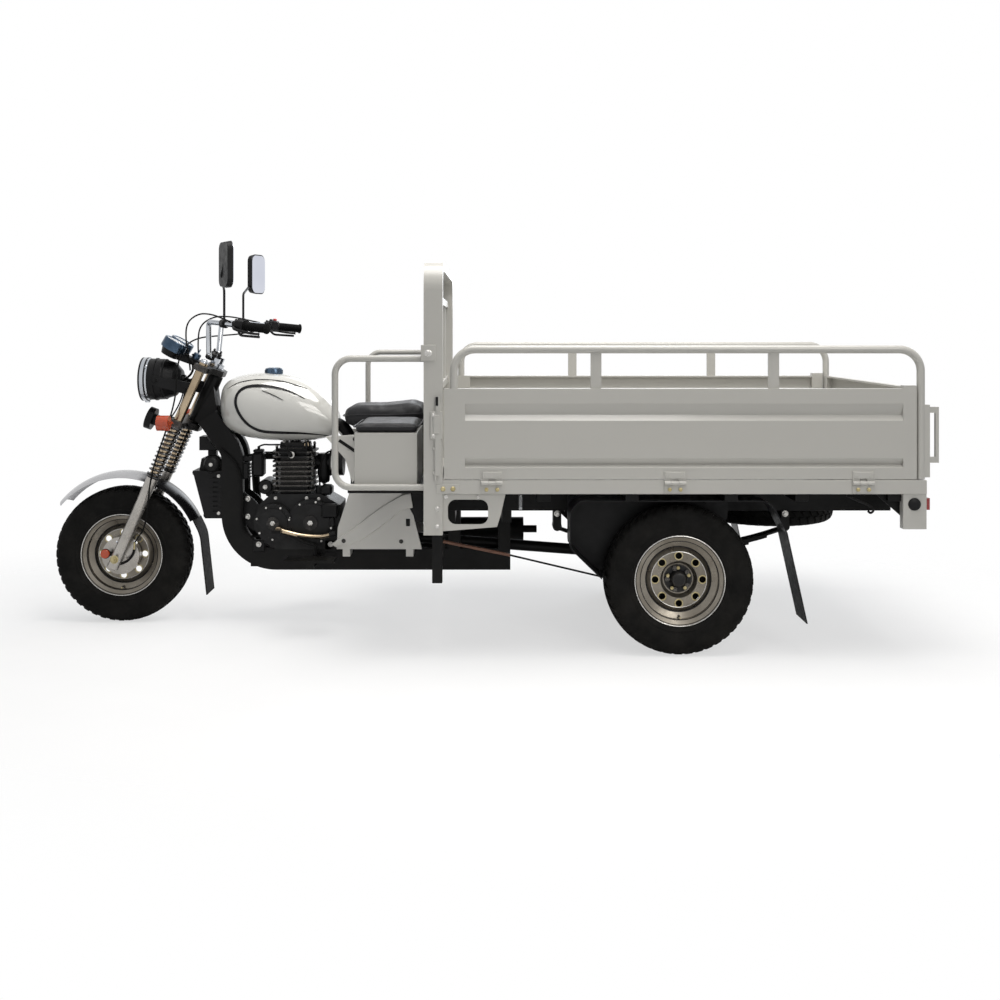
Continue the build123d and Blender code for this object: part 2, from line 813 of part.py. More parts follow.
def make_fuel_tank():
    """A teardrop tank, rounded in front and falling away to the saddle."""
    with BuildPart() as tank:
        with BuildSketch(Plane.XZ.offset(-tank_half_width)):
            with BuildLine():
                front = (tank_front_x, 930)
                ThreePointArc((990, tank_bottom_z + 26), (1044, 842), front)
                ThreePointArc(front, (1030, 1015), (900, tank_top_z))
                ThreePointArc((900, tank_top_z), (700, 1004), (tank_rear_x, 880))
                Line((tank_rear_x, 880), (tank_rear_x, 800))
                Line((tank_rear_x, 800), (700, tank_bottom_z))
                Line((700, tank_bottom_z), (900, tank_bottom_z))
                Line((900, tank_bottom_z), (990, tank_bottom_z + 26))
            make_face()
        extrude(amount=2 * tank_half_width)
        with BuildSketch(Plane.XY.offset(tank_bottom_z - 10)) as plan:
            with BuildLine():
                ThreePointArc((1000, 138), (tank_front_x + 4, 0), (1000, -138))
                ThreePointArc((1000, -138), (820, -tank_half_width), (tank_rear_x - 4, -88))
                Line((tank_rear_x - 4, -88), (tank_rear_x - 4, 88))
                ThreePointArc((tank_rear_x - 4, 88), (820, tank_half_width), (1000, 138))
            make_face()
        extrude(amount=tank_top_z - tank_bottom_z + 20, mode=Mode.INTERSECT)
        with BuildSketch(Plane.YZ.offset(tank_rear_x - 4)):
            with BuildLine():
                ThreePointArc((tank_half_width, tank_belly_z), (102, 1022), (0, tank_top_z))
                ThreePointArc((0, tank_top_z), (-102, 1022), (-tank_half_width, tank_belly_z))
                ThreePointArc((-tank_half_width, tank_belly_z), (-136, 800), (-98, tank_bottom_z - 1))
                Line((-98, tank_bottom_z - 1), (98, tank_bottom_z - 1))
                ThreePointArc((98, tank_bottom_z - 1), (136, 800), (tank_half_width, tank_belly_z))
            make_face()
        extrude(amount=tank_front_x - tank_rear_x + 8, mode=Mode.INTERSECT)
        tunnel = backbone_diameter / 2 + tunnel_clearance
        box((500, 1100), (-tunnel, tunnel), (700, backbone_z + tunnel), mode=Mode.SUBTRACT)
        add(
            plate([(940, 820), (1100, 820), (1100, 960), (1040, 906), (940, 862)], -tunnel, tunnel),
            mode=Mode.SUBTRACT,
        )
        with BuildSketch(Plane.XY.offset(cap_seat_z)):
            with Locations((cap_x, 0)):
                Circle(cap_radius + 7)
        extrude(amount=60, mode=Mode.SUBTRACT)
    return tank.part


save(make_fuel_tank(), "fuel_tank")

with BuildPart() as fuel_cap:
    with BuildSketch(Plane.XY.offset(cap_seat_z)):
        with Locations((cap_x, 0)):
            Circle(cap_radius)
    extrude(amount=cap_height, taper=8)
save(fuel_cap.part, "fuel_cap")


# Side covers: a plate each side of the frame below the saddle

def make_side_covers():
    """The light plastic covers either side, from the tank's tail down to the lower rails."""
    outline = [
        (610, 792), (476, 800), (476, 606), (452, 560), (300, 560),
        (250, 470), (215, 330), (565, 330), (560, 420), (500, 600), (530, 700),
    ]
    rail_side = frame_rail_y + frame_rail_width / 2
    with BuildPart() as cover:
        add(plate(outline, 160, 172))
        add(plate([(548, 382), (522, 376), (262, 520), (278, 544)], 171, 176))
        for x in (250, 510):
            box((x, x + 30), (rail_side, 172), (frame_rail_top_z - 15, 334))
    return both_sides(cover.part)


save(make_side_covers(), "side_covers")


# Engine: crankcase, finned cylinder, covers

engine_x = 760.0
fin_count = 9
fin_pitch = 20.0
fin_thickness = 6.0
port_x = 862.0
port_y = -62.0
port_z = 690.0


def make_engine():
    """An air-cooled upright single: crankcase, side covers, finned barrel and head."""
    with BuildPart() as engine:
        with BuildSketch(Plane.XZ.offset(-95)):
            with BuildLine():
                Polyline(
                    (560, 350), (600, frame_rail_top_z), (826, frame_rail_top_z), (880, 345),
                    (920, 400), (900, 500), (850, 545), (640, 545), (560, 500),
                    close=True,
                )
            make_face()
        extrude(amount=190)
        for side in (1, -1):
            start = Plane.XZ.offset(-side * 95)
            for x, z, radius, depth in (
                (835, 430, 78, 30), (835, 430, 60, 36), (835, 430, 26, 40),
                (680, 430, 96, 24), (680, 430, 80, 30), (680, 430, 30, 36),
            ):
                with BuildSketch(start):
                    with Locations((x, z)):
                        Circle(radius)
                extrude(amount=-side * depth)
        with BuildSketch(Plane.XY.offset(540)):
            with Locations((engine_x, 0)):
                Rectangle(110, 120)
        extrude(amount=200)
        for index in range(fin_count):
            with BuildSketch(Plane.XY.offset(556 + index * fin_pitch)):
                with Locations((engine_x, 0)):
                    RectangleRounded(176, 180, 30)
            extrude(amount=fin_thickness)
        with BuildSketch(Plane.XY.offset(736)):
            with Locations((engine_x, 0)):
                RectangleRounded(128, 96, 16)
        extrude(amount=20, taper=12)
        for z in (566, 726):
            with BuildSketch(Plane.XY.offset(z - 6)):
                with Locations((engine_x, 0)):
                    RectangleRounded(132, 140, 12)
            extrude(amount=12)
        with BuildSketch(Plane.XZ.offset(-60)):
            with Locations((engine_x, 712)):
                Circle(11)
        extrude(amount=-62)
        with BuildSketch(Plane.YZ.offset(engine_x)):
            with Locations((port_y, port_z)):
                Circle(20)
        extrude(amount=port_x - engine_x)
    return engine.part


save(make_engine(), "engine")

with BuildPart() as carburettor:
    with BuildSketch(Plane.YZ.offset(610)):
        with Locations((0, 668)):
            Circle(24)
    extrude(amount=62)
    with BuildSketch(Plane.XY.offset(610)):
        with Locations((640, 0)):
            Circle(28)
    extrude(amount=96)
    with BuildSketch(Plane.YZ.offset(556)):
        with Locations((0, 668)):
            Circle(56)
    extrude(amount=56)
save(carburettor.part, "carburettor")

exhaust_y = -190.0
muffler_front_x = 208.0
with BuildPart() as exhaust:
    add(round_tube(
        [
            (port_x, port_y, port_z),
            (950, port_y, port_z),
            (950, -150, 430),
            (760, exhaust_y, 352),
            (muffler_front_x - 2, exhaust_y, 352),
        ],
        [50, 60, 60],
        34,
    ))
    with BuildSketch(Plane.YZ.offset(muffler_front_x)):
        with Locations((exhaust_y, 352)):
            Circle(52)
    extrude(amount=-420)
    with BuildSketch(Plane.YZ.offset(muffler_front_x - 419)):
        with Locations((exhaust_y, 352)):
            Circle(16)
    extrude(amount=-60)
save(exhaust.part, "exhaust")


# Radiator in front of the down beams

def make_radiator():
    """The cooler with its shroud and a small box above, leaning with the fork."""
    with BuildPart() as radiator:
        back_x = down_beam_x + frame_rail_height / 2
        add(plate([(1182, 640), (1130, 440), (back_x, 440), (back_x, 640)], -74, 74))
        add(plate([(1150, 690), (1160, 638), (back_x, 638), (back_x, 684)], -50, 50))
        add(plate([(1162, 780), (1162, 722), (1084, 722), (1134, 780)], -40, 40))
        add(plate([(1130, 724), (1130, 688), (1096, 688), (1096, 724)], -20, 20))
        for z in range(466, 626, 20):
            box((back_x + 18, 1096), (68, 80), (z, z + 9), mode=Mode.SUBTRACT)
            box((back_x + 18, 1096), (-80, -68), (z, z + 9), mode=Mode.SUBTRACT)
    return radiator.part


save(make_radiator(), "radiator")


def make_foot_controls():
    """Footboards, brake pedal and gear lever beside the engine."""
    with BuildPart() as controls:
        for side in (1, -1):
            span = sorted((side * (frame_rail_y + frame_rail_width / 2), side * 300))
            box((640, 670), span, (frame_rail_top_z - 40, frame_rail_top_z - 18))
            span = sorted((side * 200, side * 300))
            box((560, 760), span, (frame_rail_top_z - 18, frame_rail_top_z - 8))
            lever_y = side * 150
            add(round_tube(
                [(655, lever_y, 290), (655, lever_y, 340), (700, lever_y, 352), (812, lever_y, 404)],
                [12, 30],
                13,
            ))
            box((792, 828), sorted((lever_y, lever_y + side * 44)), (398, 410))
    return controls.part


save(make_foot_controls(), "foot_controls")


# Rear axle, springs and drive

spring_length = 900.0
leaf_thickness = 8.0
leaf_count = 5
spring_width = 60.0
axle_tube_radius = 38.0
spring_rise = 80.0


def make_leaf_springs():
    """Two leaf packs on the axle tube, the longest leaf on top and hung from the beams."""
    seat_z = tyre_radius + axle_tube_radius + 8
    half_length = spring_length / 2
    with BuildPart() as pack:
        for index in range(leaf_count):
            reach = half_length * (1 - 0.16 * (leaf_count - 1 - index))
            low = seat_z + index * leaf_thickness
            rise = spring_rise * (reach / half_length) ** 2
            with BuildSketch(Plane.XZ.offset(-beam_centre_y - spring_width / 2)):
                with BuildLine():
                    front = (rear_axle_x + reach, low + rise)
                    back = (rear_axle_x - reach, low + rise)
                    ThreePointArc(front, (rear_axle_x, low), back)
                    Line(back, (back[0], back[1] + leaf_thickness))
                    ThreePointArc(
                        (back[0], back[1] + leaf_thickness),
                        (rear_axle_x, low + leaf_thickness),
                        (front[0], front[1] + leaf_thickness),
                    )
                    Line((front[0], front[1] + leaf_thickness), front)
                make_face()
            extrude(amount=spring_width)
        top_z = seat_z + leaf_count * leaf_thickness
        inner_y = beam_centre_y - spring_width / 2
        outer_y = beam_centre_y + spring_width / 2
        box((rear_axle_x - 55, rear_axle_x + 55), (inner_y - 6, outer_y + 6), (top_z - 1, top_z + 11))
        for x in (rear_axle_x - 200, rear_axle_x + 200):
            box((x - 9, x + 9), (inner_y - 3, outer_y + 3), (top_z - 26, top_z + 19))
        eye_z = top_z + spring_rise
        for x in (rear_axle_x - half_length, rear_axle_x + half_length):
            with BuildSketch(Plane.XZ.offset(-beam_centre_y - spring_width / 2)):
                with Locations((x, eye_z + 4)):
                    Circle(18)
            extrude(amount=spring_width)
            box(
                (x - 16, x + 16),
                (beam_centre_y - spring_width / 2, beam_centre_y + spring_width / 2),
                (eye_z + 4, beam_bottom_z),
            )
    return both_sides(pack.part)


save(make_leaf_springs(), "leaf_springs")

axle_end_y = wheel_centre_y - 70
stub_radius = 20.0


def make_rear_axle():
    """The live axle's housing with its differential, backing plates and spring seats."""
    with BuildPart() as axle:
        with BuildSketch(Plane.XY):
            with BuildLine():
                Polyline(
                    (0, -axle_end_y),
                    (90, -axle_end_y),
                    (90, -axle_end_y + 6),
                    (axle_tube_radius, -axle_end_y + 6),
                    (axle_tube_radius, -150),
                    (105, -70),
                    (118, 0),
                    (105, 70),
                    (axle_tube_radius, 150),
                    (axle_tube_radius, axle_end_y - 6),
                    (90, axle_end_y - 6),
                    (90, axle_end_y),
                    (0, axle_end_y),
                    close=True,
                )
            make_face()
        revolve(axis=Axis.Y)
        with BuildSketch(Plane.YZ):
            Circle(48)
        extrude(amount=170)
        for side in (1, -1):
            with BuildSketch(Plane.XZ.offset(-side * (axle_end_y + 2))):
                Circle(stub_radius + pin_clearance)
            extrude(amount=side * 84, mode=Mode.SUBTRACT)
            ends = sorted((side * (beam_centre_y - 34), side * (beam_centre_y + 34)))
            box((-50, 50), ends, (20, axle_tube_radius + 8))
    return axle.part.moved(Location((rear_axle_x, 0, tyre_radius)))


save(make_rear_axle(), "rear_axle")

axle_nose_x = rear_axle_x + 170
shaft_diameter = 45.0
with BuildPart() as drive_shaft:
    add(round_tube([(558, 0, 372), (axle_nose_x + 2, 0, tyre_radius)], 0, shaft_diameter))
    for fraction in (0.03, 0.97):
        x = 558 + fraction * (axle_nose_x - 556)
        z = 372 + fraction * (tyre_radius - 372)
        with Locations((x, 0, z)):
            Sphere(36)
save(drive_shaft.part, "drive_shaft")


def make_rear_hub(side):
    """Drum, flange, pilot and wheel nuts of a driven wheel, with its half shaft."""
    with BuildPart() as hub:
        with BuildSketch(Plane.XY):
            with BuildLine():
                Polyline(
                    (0, -150),
                    (stub_radius, -150),
                    (stub_radius, -54),
                    (110, -54),
                    (112, -18),
                    (hub_flange_radius, -14),
                    (hub_flange_radius, -2),
                    (hub_bore_radius - pin_clearance, -2),
                    (hub_bore_radius - pin_clearance, 14),
                    (24, 34),
                    (0, 34),
                    close=True,
                )
            make_face()
        revolve(axis=Axis.Y)
        with BuildSketch(Plane.XZ.offset(-4)):
            with PolarLocations(42, 5):
                RegularPolygon(10, 6)
        extrude(amount=-14)
    placed = hub.part
    if side < 0:
        placed = placed.mirror(Plane.XZ)
    return placed.moved(Location((rear_axle_x, side * wheel_centre_y, tyre_radius)))


for side, word in ((1, "left"), (-1, "right")):
    turn = 0 if side > 0 else 180
    place = Location((rear_axle_x, side * wheel_centre_y, tyre_radius), (0, 0, turn))
    save(make_tyre(place), f"rear_{word}_tyre")
    save(make_rim(place), f"rear_{word}_rim")
    save(make_rear_hub(side), f"rear_{word}_hub")

spare_place = Location((spare_centre_x, 0, spare_top_z - half_tyre), (90, 0, 0))
save(make_tyre(spare_place), "spare_tyre")
save(make_rim(spare_place), "spare_rim")

def make_rear_mudguards():
    """The black arches over the rear wheels, each drawn out into a mud flap behind."""
    guard = flat_bar(
        [
            (rear_axle_x + 296, wheel_centre_y, 296),
            (rear_axle_x + 414, wheel_centre_y, 410),
            (rear_axle_x + 414, wheel_centre_y, rail_bottom_z - cross_bar_height - 2),
            (rear_axle_x - 338, wheel_centre_y, rail_bottom_z - cross_bar_height - 2),
            (rear_axle_x - 398, wheel_centre_y, 470),
            (rear_axle_x - 474, wheel_centre_y, 128),
        ],
        [40, 60, 60, 40],
        tyre_width + 18,
        4,
    )
    return both_sides(guard)


save(make_rear_mudguards(), "rear_mudguards")


# Tail: brackets, cross bar, lamps, plate

tail_bracket_length = 87.0
tail_bracket_bottom_z = 489.0


def make_tail_brackets():
    """The brackets below the bed's rear corners with the bar that joins them."""
    inner_y = half_bed - bed_rail_width + 2
    with BuildPart() as brackets:
        for side in (1, -1):
            span = sorted((side * inner_y, side * (half_bed - 4)))
            box((bed_rear_x, bed_rear_x + tail_bracket_length), span, (tail_bracket_bottom_z, rail_bottom_z))
        box((bed_rear_x, bed_rear_x + 30), (-inner_y - 2, inner_y + 2), (548, 612))
        box((bed_rear_x - 4, bed_rear_x + 1), (-110, 110), (480, 602))
        with BuildSketch(Plane.YZ.offset(bed_rear_x - 6)):
            with Locations((-55, 500), (55, 500)):
                Circle(3.5)
        extrude(amount=10, mode=Mode.SUBTRACT)
    return brackets.part


save(make_tail_brackets(), "tail_brackets")

with BuildPart() as tail_lamps:
    for side in (1, -1):
        span = sorted((side * (half_bed - 185), side * (half_bed - 25)))
        box((bed_rear_x - 20, bed_rear_x), span, (558, 602))
save(tail_lamps.part, "tail_lamps")


def make_step_brackets():
    """The light plates with a rounded window below the bed's front corners."""
    with BuildPart() as brackets:
        with BuildSketch(Plane.XZ.offset(-half_bed + 12)):
            with BuildLine():
                Polyline(
                    (bed_front_x, rail_bottom_z),
                    (bed_front_x - 234, rail_bottom_z),
                    (bed_front_x - 216, 540),
                    (bed_front_x - 202, 496),
                    (bed_front_x, 480),
                    close=True,
                )
            make_face()
            with Locations((bed_front_x - 94, 552)):
                RectangleRounded(150, 92, 30, mode=Mode.SUBTRACT)
        extrude(amount=8)
    return both_sides(brackets.part)


save(make_step_brackets(), "corner_brackets")

step_post_bottom_z = 288.0
with BuildPart() as step_post:
    box(
        (post_centre_x - 34, post_centre_x + 4),
        (post_y - 14, post_y + 14),
        (step_post_bottom_z, post_bottom_z),
    )
save(both_sides(step_post.part), "step_posts")


# Front fork, in the fork's own plane

def fork_cylinders(points, diameter, low, high):
    """Round bars along the fork legs' direction at (forward, left) points between two heights."""
    with BuildPart(mode=Mode.PRIVATE) as bars:
        with BuildSketch(fork_plane.offset(low)):
            with Locations(*points):
                Circle(diameter / 2)
        extrude(amount=high - low)
    return bars.part


leg_points = [(0, fork_half_spacing), (0, -fork_half_spacing)]
crown_front = 16.0
crown_end_y = fork_half_spacing + 30


def make_fork_crowns():
    """The two crowns on the steering stem, bored for the fork tubes."""
    with BuildPart() as crowns:
        for height in (low_crown, top_crown):
            with BuildSketch(fork_plane.offset(height - crown_thickness / 2)):
                with BuildLine():
                    Polyline(
                        (28, crown_end_y),
                        (-27, crown_end_y),
                        (-38, 74),
                        (-steering_offset - 32, 34),
                        (-steering_offset - 32, -34),
                        (-38, -74),
                        (-27, -crown_end_y),
                        (28, -crown_end_y),
                        (crown_front, -40),
                        (crown_front, 40),
                        close=True,
                    )
                make_face()
                with Locations(*leg_points):
                    Circle(fork_tube_diameter / 2 + fit_clearance, mode=Mode.SUBTRACT)
            extrude(amount=crown_thickness)
        add(fork_cylinders([(-steering_offset, 0)], stem_diameter, low_crown, top_crown))
    return crowns.part


save(make_fork_crowns(), "fork_crowns")
save(fork_cylinders(leg_points, fork_tube_diameter, slider_top, top_crown + 24), "fork_tubes")

with BuildPart() as fork_sliders:
    add(fork_cylinders(leg_points, slider_diameter, -slider_foot, slider_top))
    with BuildSketch(Plane.XZ.offset(-fork_half_spacing - slider_diameter)):
        with Locations((front_axle_x, tyre_radius)):
            Circle(front_axle_diameter / 2 + fit_clearance)
    extrude(amount=2 * fork_half_spacing + 2 * slider_diameter, mode=Mode.SUBTRACT)
save(fork_sliders.part, "fork_sliders")


def make_fork_springs():
    """The outer springs as closed ridged sleeves round the fork tubes."""
    low = slider_top
    high = low_crown - crown_thickness / 2
    pitch = (high - low) / spring_turns
    inner = fork_tube_diameter / 2 + 1.5
    with BuildPart() as springs:
        for point in leg_points:
            for index in range(spring_turns):
                with BuildSketch(fork_plane.offset(low + index * pitch)):
                    with Locations(point):
                        Circle(spring_diameter / 2)
                        Circle(inner, mode=Mode.SUBTRACT)
                extrude(amount=pitch * 0.55)
            with BuildSketch(fork_plane.offset(low)):
                with Locations(point):
                    Circle(spring_diameter / 2 - 7)
                    Circle(inner, mode=Mode.SUBTRACT)
            extrude(amount=high - low)
    return springs.part


save(make_fork_springs(), "fork_springs")

drum_radius = 78.0
brake_plate = turned(
    [
        (front_axle_diameter / 2 - 1, 66), (drum_radius, 64), (drum_radius, 72),
        (30, 84), (22, 91), (front_axle_diameter / 2 - 1, 91),
    ],
    Location((front_axle_x, 0, tyre_radius)),
)
with BuildPart() as front_axle:
    add(brake_plate)
    with BuildSketch(Plane.XZ.offset(-fork_half_spacing - slider_diameter / 2 - 14)):
        with Locations((front_axle_x, tyre_radius)):
            Circle(front_axle_diameter / 2)
    extrude(amount=2 * fork_half_spacing + slider_diameter + 28)
    for side in (1, -1):
        with BuildSketch(Plane.XZ.offset(-side * (fork_half_spacing + slider_diameter / 2))):
            with Locations((front_axle_x, tyre_radius)):
                RegularPolygon(14, 6)
        extrude(amount=-side * 11)
save(front_axle.part, "front_axle")

# Front wheel: the hub flange sits on the disc's dished side, the brake drum outside it


def make_front_hub():
    """Hub shell with the drum, and the nuts that hold the disc."""
    bore = front_axle_diameter / 2 + pin_clearance
    hub = turned(
        [
            (bore, -84), (24, -84), (hub_bore_radius - pin_clearance, -30),
            (hub_bore_radius - pin_clearance, 4), (hub_flange_radius, 4), (hub_flange_radius, 14),
            (44, 32), (drum_radius, 34), (drum_radius, 58), (24, 60), (24, 62), (bore, 62),
        ],
        Location((0, 0, 0)),
    )
    with BuildPart() as shell:
        add(hub)
        with BuildSketch(Plane.XZ.offset(2)):
            with PolarLocations(42, 5):
                RegularPolygon(10, 6)
        extrude(amount=12)
    return shell.part.moved(Location((front_axle_x, 0, tyre_radius)))


front_place = Location((front_axle_x, 0, tyre_radius))
save(make_tyre(front_place), "front_tyre")
save(make_rim(front_place), "front_rim")
save(make_front_hub(), "front_hub")


# Front mudguard: an arched sheet swept round the axle, and its flap

fender_front_angle = 40.0
fender_rear_angle = 154.0


def make_front_mudguard():
    """A curved sheet about the front axle, from ahead of the fork to low behind it, with its two stays."""
    sheet = 3.0
    half = fender_width / 2
    drop = 22
    with BuildPart() as fender:
        with BuildSketch(Plane.XY):
            with BuildLine():
                ThreePointArc(
                    (fender_radius - drop, -half), (fender_radius, 0), (fender_radius - drop, half)
                )
                Line((fender_radius - drop, half), (fender_radius - drop - sheet, half))
                ThreePointArc(
                    (fender_radius - drop - sheet, half),
                    (fender_radius - sheet, 0),
                    (fender_radius - drop - sheet, -half),
                )
                Line((fender_radius - drop - sheet, -half), (fender_radius - drop, -half))
            make_face()
        revolve(
            axis=Axis((0, 0, 0), (0, -1, 0)),
            revolution_arc=fender_rear_angle - fender_front_angle,
        )
    arch = fender.part.moved(Location(front_place.position, (0, -fender_front_angle, 0)))
    leg_inner_y = fork_half_spacing - slider_diameter / 2
    with BuildPart() as stayed:
        add(arch)
        for side in (1, -1):
            with BuildSketch(fork_plane.offset(fender_radius - 32)):
                with Locations((0, side * (leg_inner_y + half - 3) / 2)):
                    Rectangle(50, leg_inner_y - half + 3)
            extrude(amount=20)
    return stayed.part


save(make_front_mudguard(), "front_mudguard")

fender_end = (cos(radians(fender_rear_angle)), sin(radians(fender_rear_angle)))
flap_radius = fender_radius - 14
flap_top = Vector(front_axle_x + flap_radius * fender_end[0], 0, tyre_radius + flap_radius * fender_end[1])
flap_knee = flap_top + Vector(-fender_end[1], 0, fender_end[0]) * 70
save(flat_bar([flap_top, flap_knee, (1124, 0, 118)], [160], fender_width - 20, 5), "mud_flap")


# Handlebar and what it carries

handlebar_diameter = 22.0
handlebar_points = [(1110, 0, 1120), (1110, 84, 1120), (1103, 120, 1264), (950, 318, 1250), (818, 392, 1236)]


def make_handlebar():
    """The bar: up from the top crown in two risers, then swept back to the grips."""
    crown_top_z = top_crown + crown_thickness / 2
    with BuildPart(mode=Mode.PRIVATE) as bar:
        add(both_sides(round_tube(handlebar_points, [26, 26, 60], handlebar_diameter)))
        for y in (-40, 40):
            with BuildSketch(fork_plane.offset(crown_top_z)):
                with Locations((-steering_offset + 18, y)):
                    Rectangle(30, 24)
            extrude(amount=42)
    return bar.part


save(make_handlebar(), "handlebar")


bar_bend = Vector(*handlebar_points[-2])
bar_end = Vector(*handlebar_points[-1])
bar_bore = handlebar_diameter / 2 + fit_clearance


def make_grips():
    """Rubber grips with the switch housings inboard of them, and the two levers."""
    along = (bar_end - bar_bend).normalized()
    reach = (bar_end - bar_bend).length
    with BuildPart(mode=Mode.PRIVATE) as left:
        with BuildSketch(Plane(origin=bar_bend + along * 56, z_dir=along)):
            Circle(17)
        extrude(amount=reach - 52)
        with BuildSketch(Plane(origin=bar_bend + along * 15, z_dir=along)):
            Circle(25)
        extrude(amount=42)
        lever_start = bar_bend + along * 28 + Vector(10, 0, -18)
        lever_mid = bar_bend + along * 60 + Vector(22, 14, -36)
        lever_end = bar_bend + along * 148 + Vector(16, 14, -34)
        add(round_tube([lever_start, lever_mid, lever_end], [30], 10))
        with BuildSketch(Plane(origin=bar_bend, z_dir=along)):
            Circle(bar_bore)
        extrude(amount=reach + 0.1, mode=Mode.SUBTRACT)
    return both_sides(left.part)


save(make_grips(), "handlebar_controls")

mirror_height = 181.0
mirror_width = 120.0
mirror_depth = 22.0
# Columns: side, mirror centre, turn about the upright, stem's place along the bar's swept run
mirror_table = (
    (1, (951, 430, 1485), 30.0, 0.60),
    (-1, (1000, -400, 1485), -20.0, 0.48),
)


def mirror_plane(centre, turn):
    """The mirror's back plane: facing rear and turned in towards the driver."""
    return Plane(
        origin=centre,
        x_dir=(-sin(radians(turn)), cos(radians(turn)), 0),
        z_dir=(cos(radians(turn)), sin(radians(turn)), 0),
    )


def make_mirrors():
    """Mirror shells on their bent stems."""
    with BuildPart(mode=Mode.PRIVATE) as mirrors:
        for side, centre, turn, share in mirror_table:
            back = mirror_plane(centre, turn)
            run_start, run_end = [Vector(x, side * y, z) for x, y, z in handlebar_points[2:4]]
            foot = run_start + (run_end - run_start) * share
            collar = Plane(origin=foot, z_dir=run_end - run_start)
            with BuildSketch(collar.offset(-14)):
                Circle(handlebar_diameter / 2 + 7)
                Circle(bar_bore, mode=Mode.SUBTRACT)
            extrude(amount=28)
            with BuildSketch(back):
                RectangleRounded(mirror_width, mirror_height, 34)
            extrude(amount=mirror_depth, taper=12)
            behind = back.from_local_coords(Vector(0, 0, mirror_depth - 4))
            add(round_tube(
                [
                    (foot.X, foot.Y, foot.Z + handlebar_diameter / 2 + 3),
                    (foot.X, foot.Y, 1390),
                    (behind.X + 14, behind.Y - side * 14, 1440),
                    behind,
                ],
                [20, 10],
                10,
            ))
    return mirrors.part


def make_mirror_glasses():
    """The glasses, set in front of the shells."""
    with BuildPart() as glasses:
        for side, centre, turn, share in mirror_table:
            with BuildSketch(mirror_plane(centre, turn)):
                RectangleRounded(mirror_width - 10, mirror_height - 10, 30)
            extrude(amount=-3)
    return glasses.part


save(make_mirrors(), "mirrors")
save(make_mirror_glasses(), "mirror_glasses")

lamp_z = 1021.0
lamp_front_x = 1408.0
lamp_radius = 92.5


def turned_forward(profile, centre):
    """A solid of revolution about an axle along X: profile holds (radius, x) points from the centre."""
    with BuildPart(mode=Mode.PRIVATE) as body:
        with BuildSketch(Plane.XY):
            with BuildLine():
                Polyline(*[(x, radius) for radius, x in profile], close=True)
            make_face()
        revolve(axis=Axis.X)
    return body.part.moved(Location(centre))


lamp_centre = (lamp_front_x, 0, lamp_z)


def make_headlamp():
    """The lamp bucket with its rim, and the ears that hold it to the fork tubes."""
    bucket = turned_forward(
        [
            (0, -170), (40, -166), (70, -140), (86, -90), (88, -28),
            (lamp_radius, -26), (lamp_radius, 0), (lamp_radius - 12, 0), (lamp_radius - 12, -20),
            (78, -24), (60, -60), (0, -70),
        ],
        lamp_centre,
    )
    ear_outer_y = fork_half_spacing - fork_tube_diameter / 2
    with BuildPart() as lamp:
        add(bucket)
        for side in (1, -1):
            add(plate(
                [(1345, 1040), (1345, 1000), (1180, 955), (1166, 975), (1160, 1005)],
                *sorted((side * 82, side * ear_outer_y)),
            ))
    return lamp.part


save(make_headlamp(), "headlamp")
save(
    turned_forward(
        [(0, -9), (lamp_radius - 12.3, -19), (lamp_radius - 12.3, -13), (0, -3)],
        lamp_centre,
    ),
    "headlamp_lens",
)

dial_plane = Plane(origin=(1262, 0, 1168), x_dir=(0, 1, 0), z_dir=(-0.5, 0, 0.866))
with BuildPart() as instruments:
    with BuildSketch(dial_plane.offset(-52)):
        with Locations((52, 0), (-52, 0)):
            Circle(34)
        Rectangle(104, 50)
    with BuildSketch(dial_plane):
        with Locations((52, 0), (-52, 0)):
            Circle(50)
        Rectangle(104, 70)
    loft()
    with BuildSketch(dial_plane):
        with Locations((52, 0), (-52, 0)):
            Circle(50)
    extrude(amount=12)
    add(plate(
        [
            fork_outline(crown_front, top_crown + 10), fork_outline(crown_front, top_crown - 12),
            (1292, 1116), (1250, 1136),
        ],
        -30,
        30,
    ))
save(instruments.part, "instruments")

horn_plane = Plane(origin=(1376, 0, 855), x_dir=(0, 1, 0), z_dir=(0.94, 0, 0.34))
with BuildPart() as horn:
    with BuildSketch(horn_plane.offset(-14)):
        Circle(47)
    extrude(amount=28)
    with BuildSketch(horn_plane.offset(-34)):
        Circle(24)
    extrude(amount=22)
    add(plate(
        [
            fork_outline(crown_front, low_crown - 10), fork_outline(crown_front, low_crown + 8),
            (1352, 866), (1352, 846),
        ],
        -12,
        12,
    ))
save(horn.part, "horn")

with BuildPart() as indicators:
    for side in (1, -1):
        with BuildSketch(Plane.YZ.offset(1267 - 24)):
            with Locations((side * 205, 850)):
                Circle(31.5)
        extrude(amount=48)
        with BuildSketch(Plane.XZ.offset(-side * crown_end_y)):
            with Locations((1248, 846)):
                Circle(6)
        extrude(amount=-side * 40)
save(indicators.part, "indicators")
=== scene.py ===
"""Looks of the cargo motor tricycle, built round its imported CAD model. Metres, +X forward, +Y left, +Z up."""

import json
from math import cos, pi, radians, sin, sqrt

import bmesh
import bpy
from mathutils import Matrix, Vector


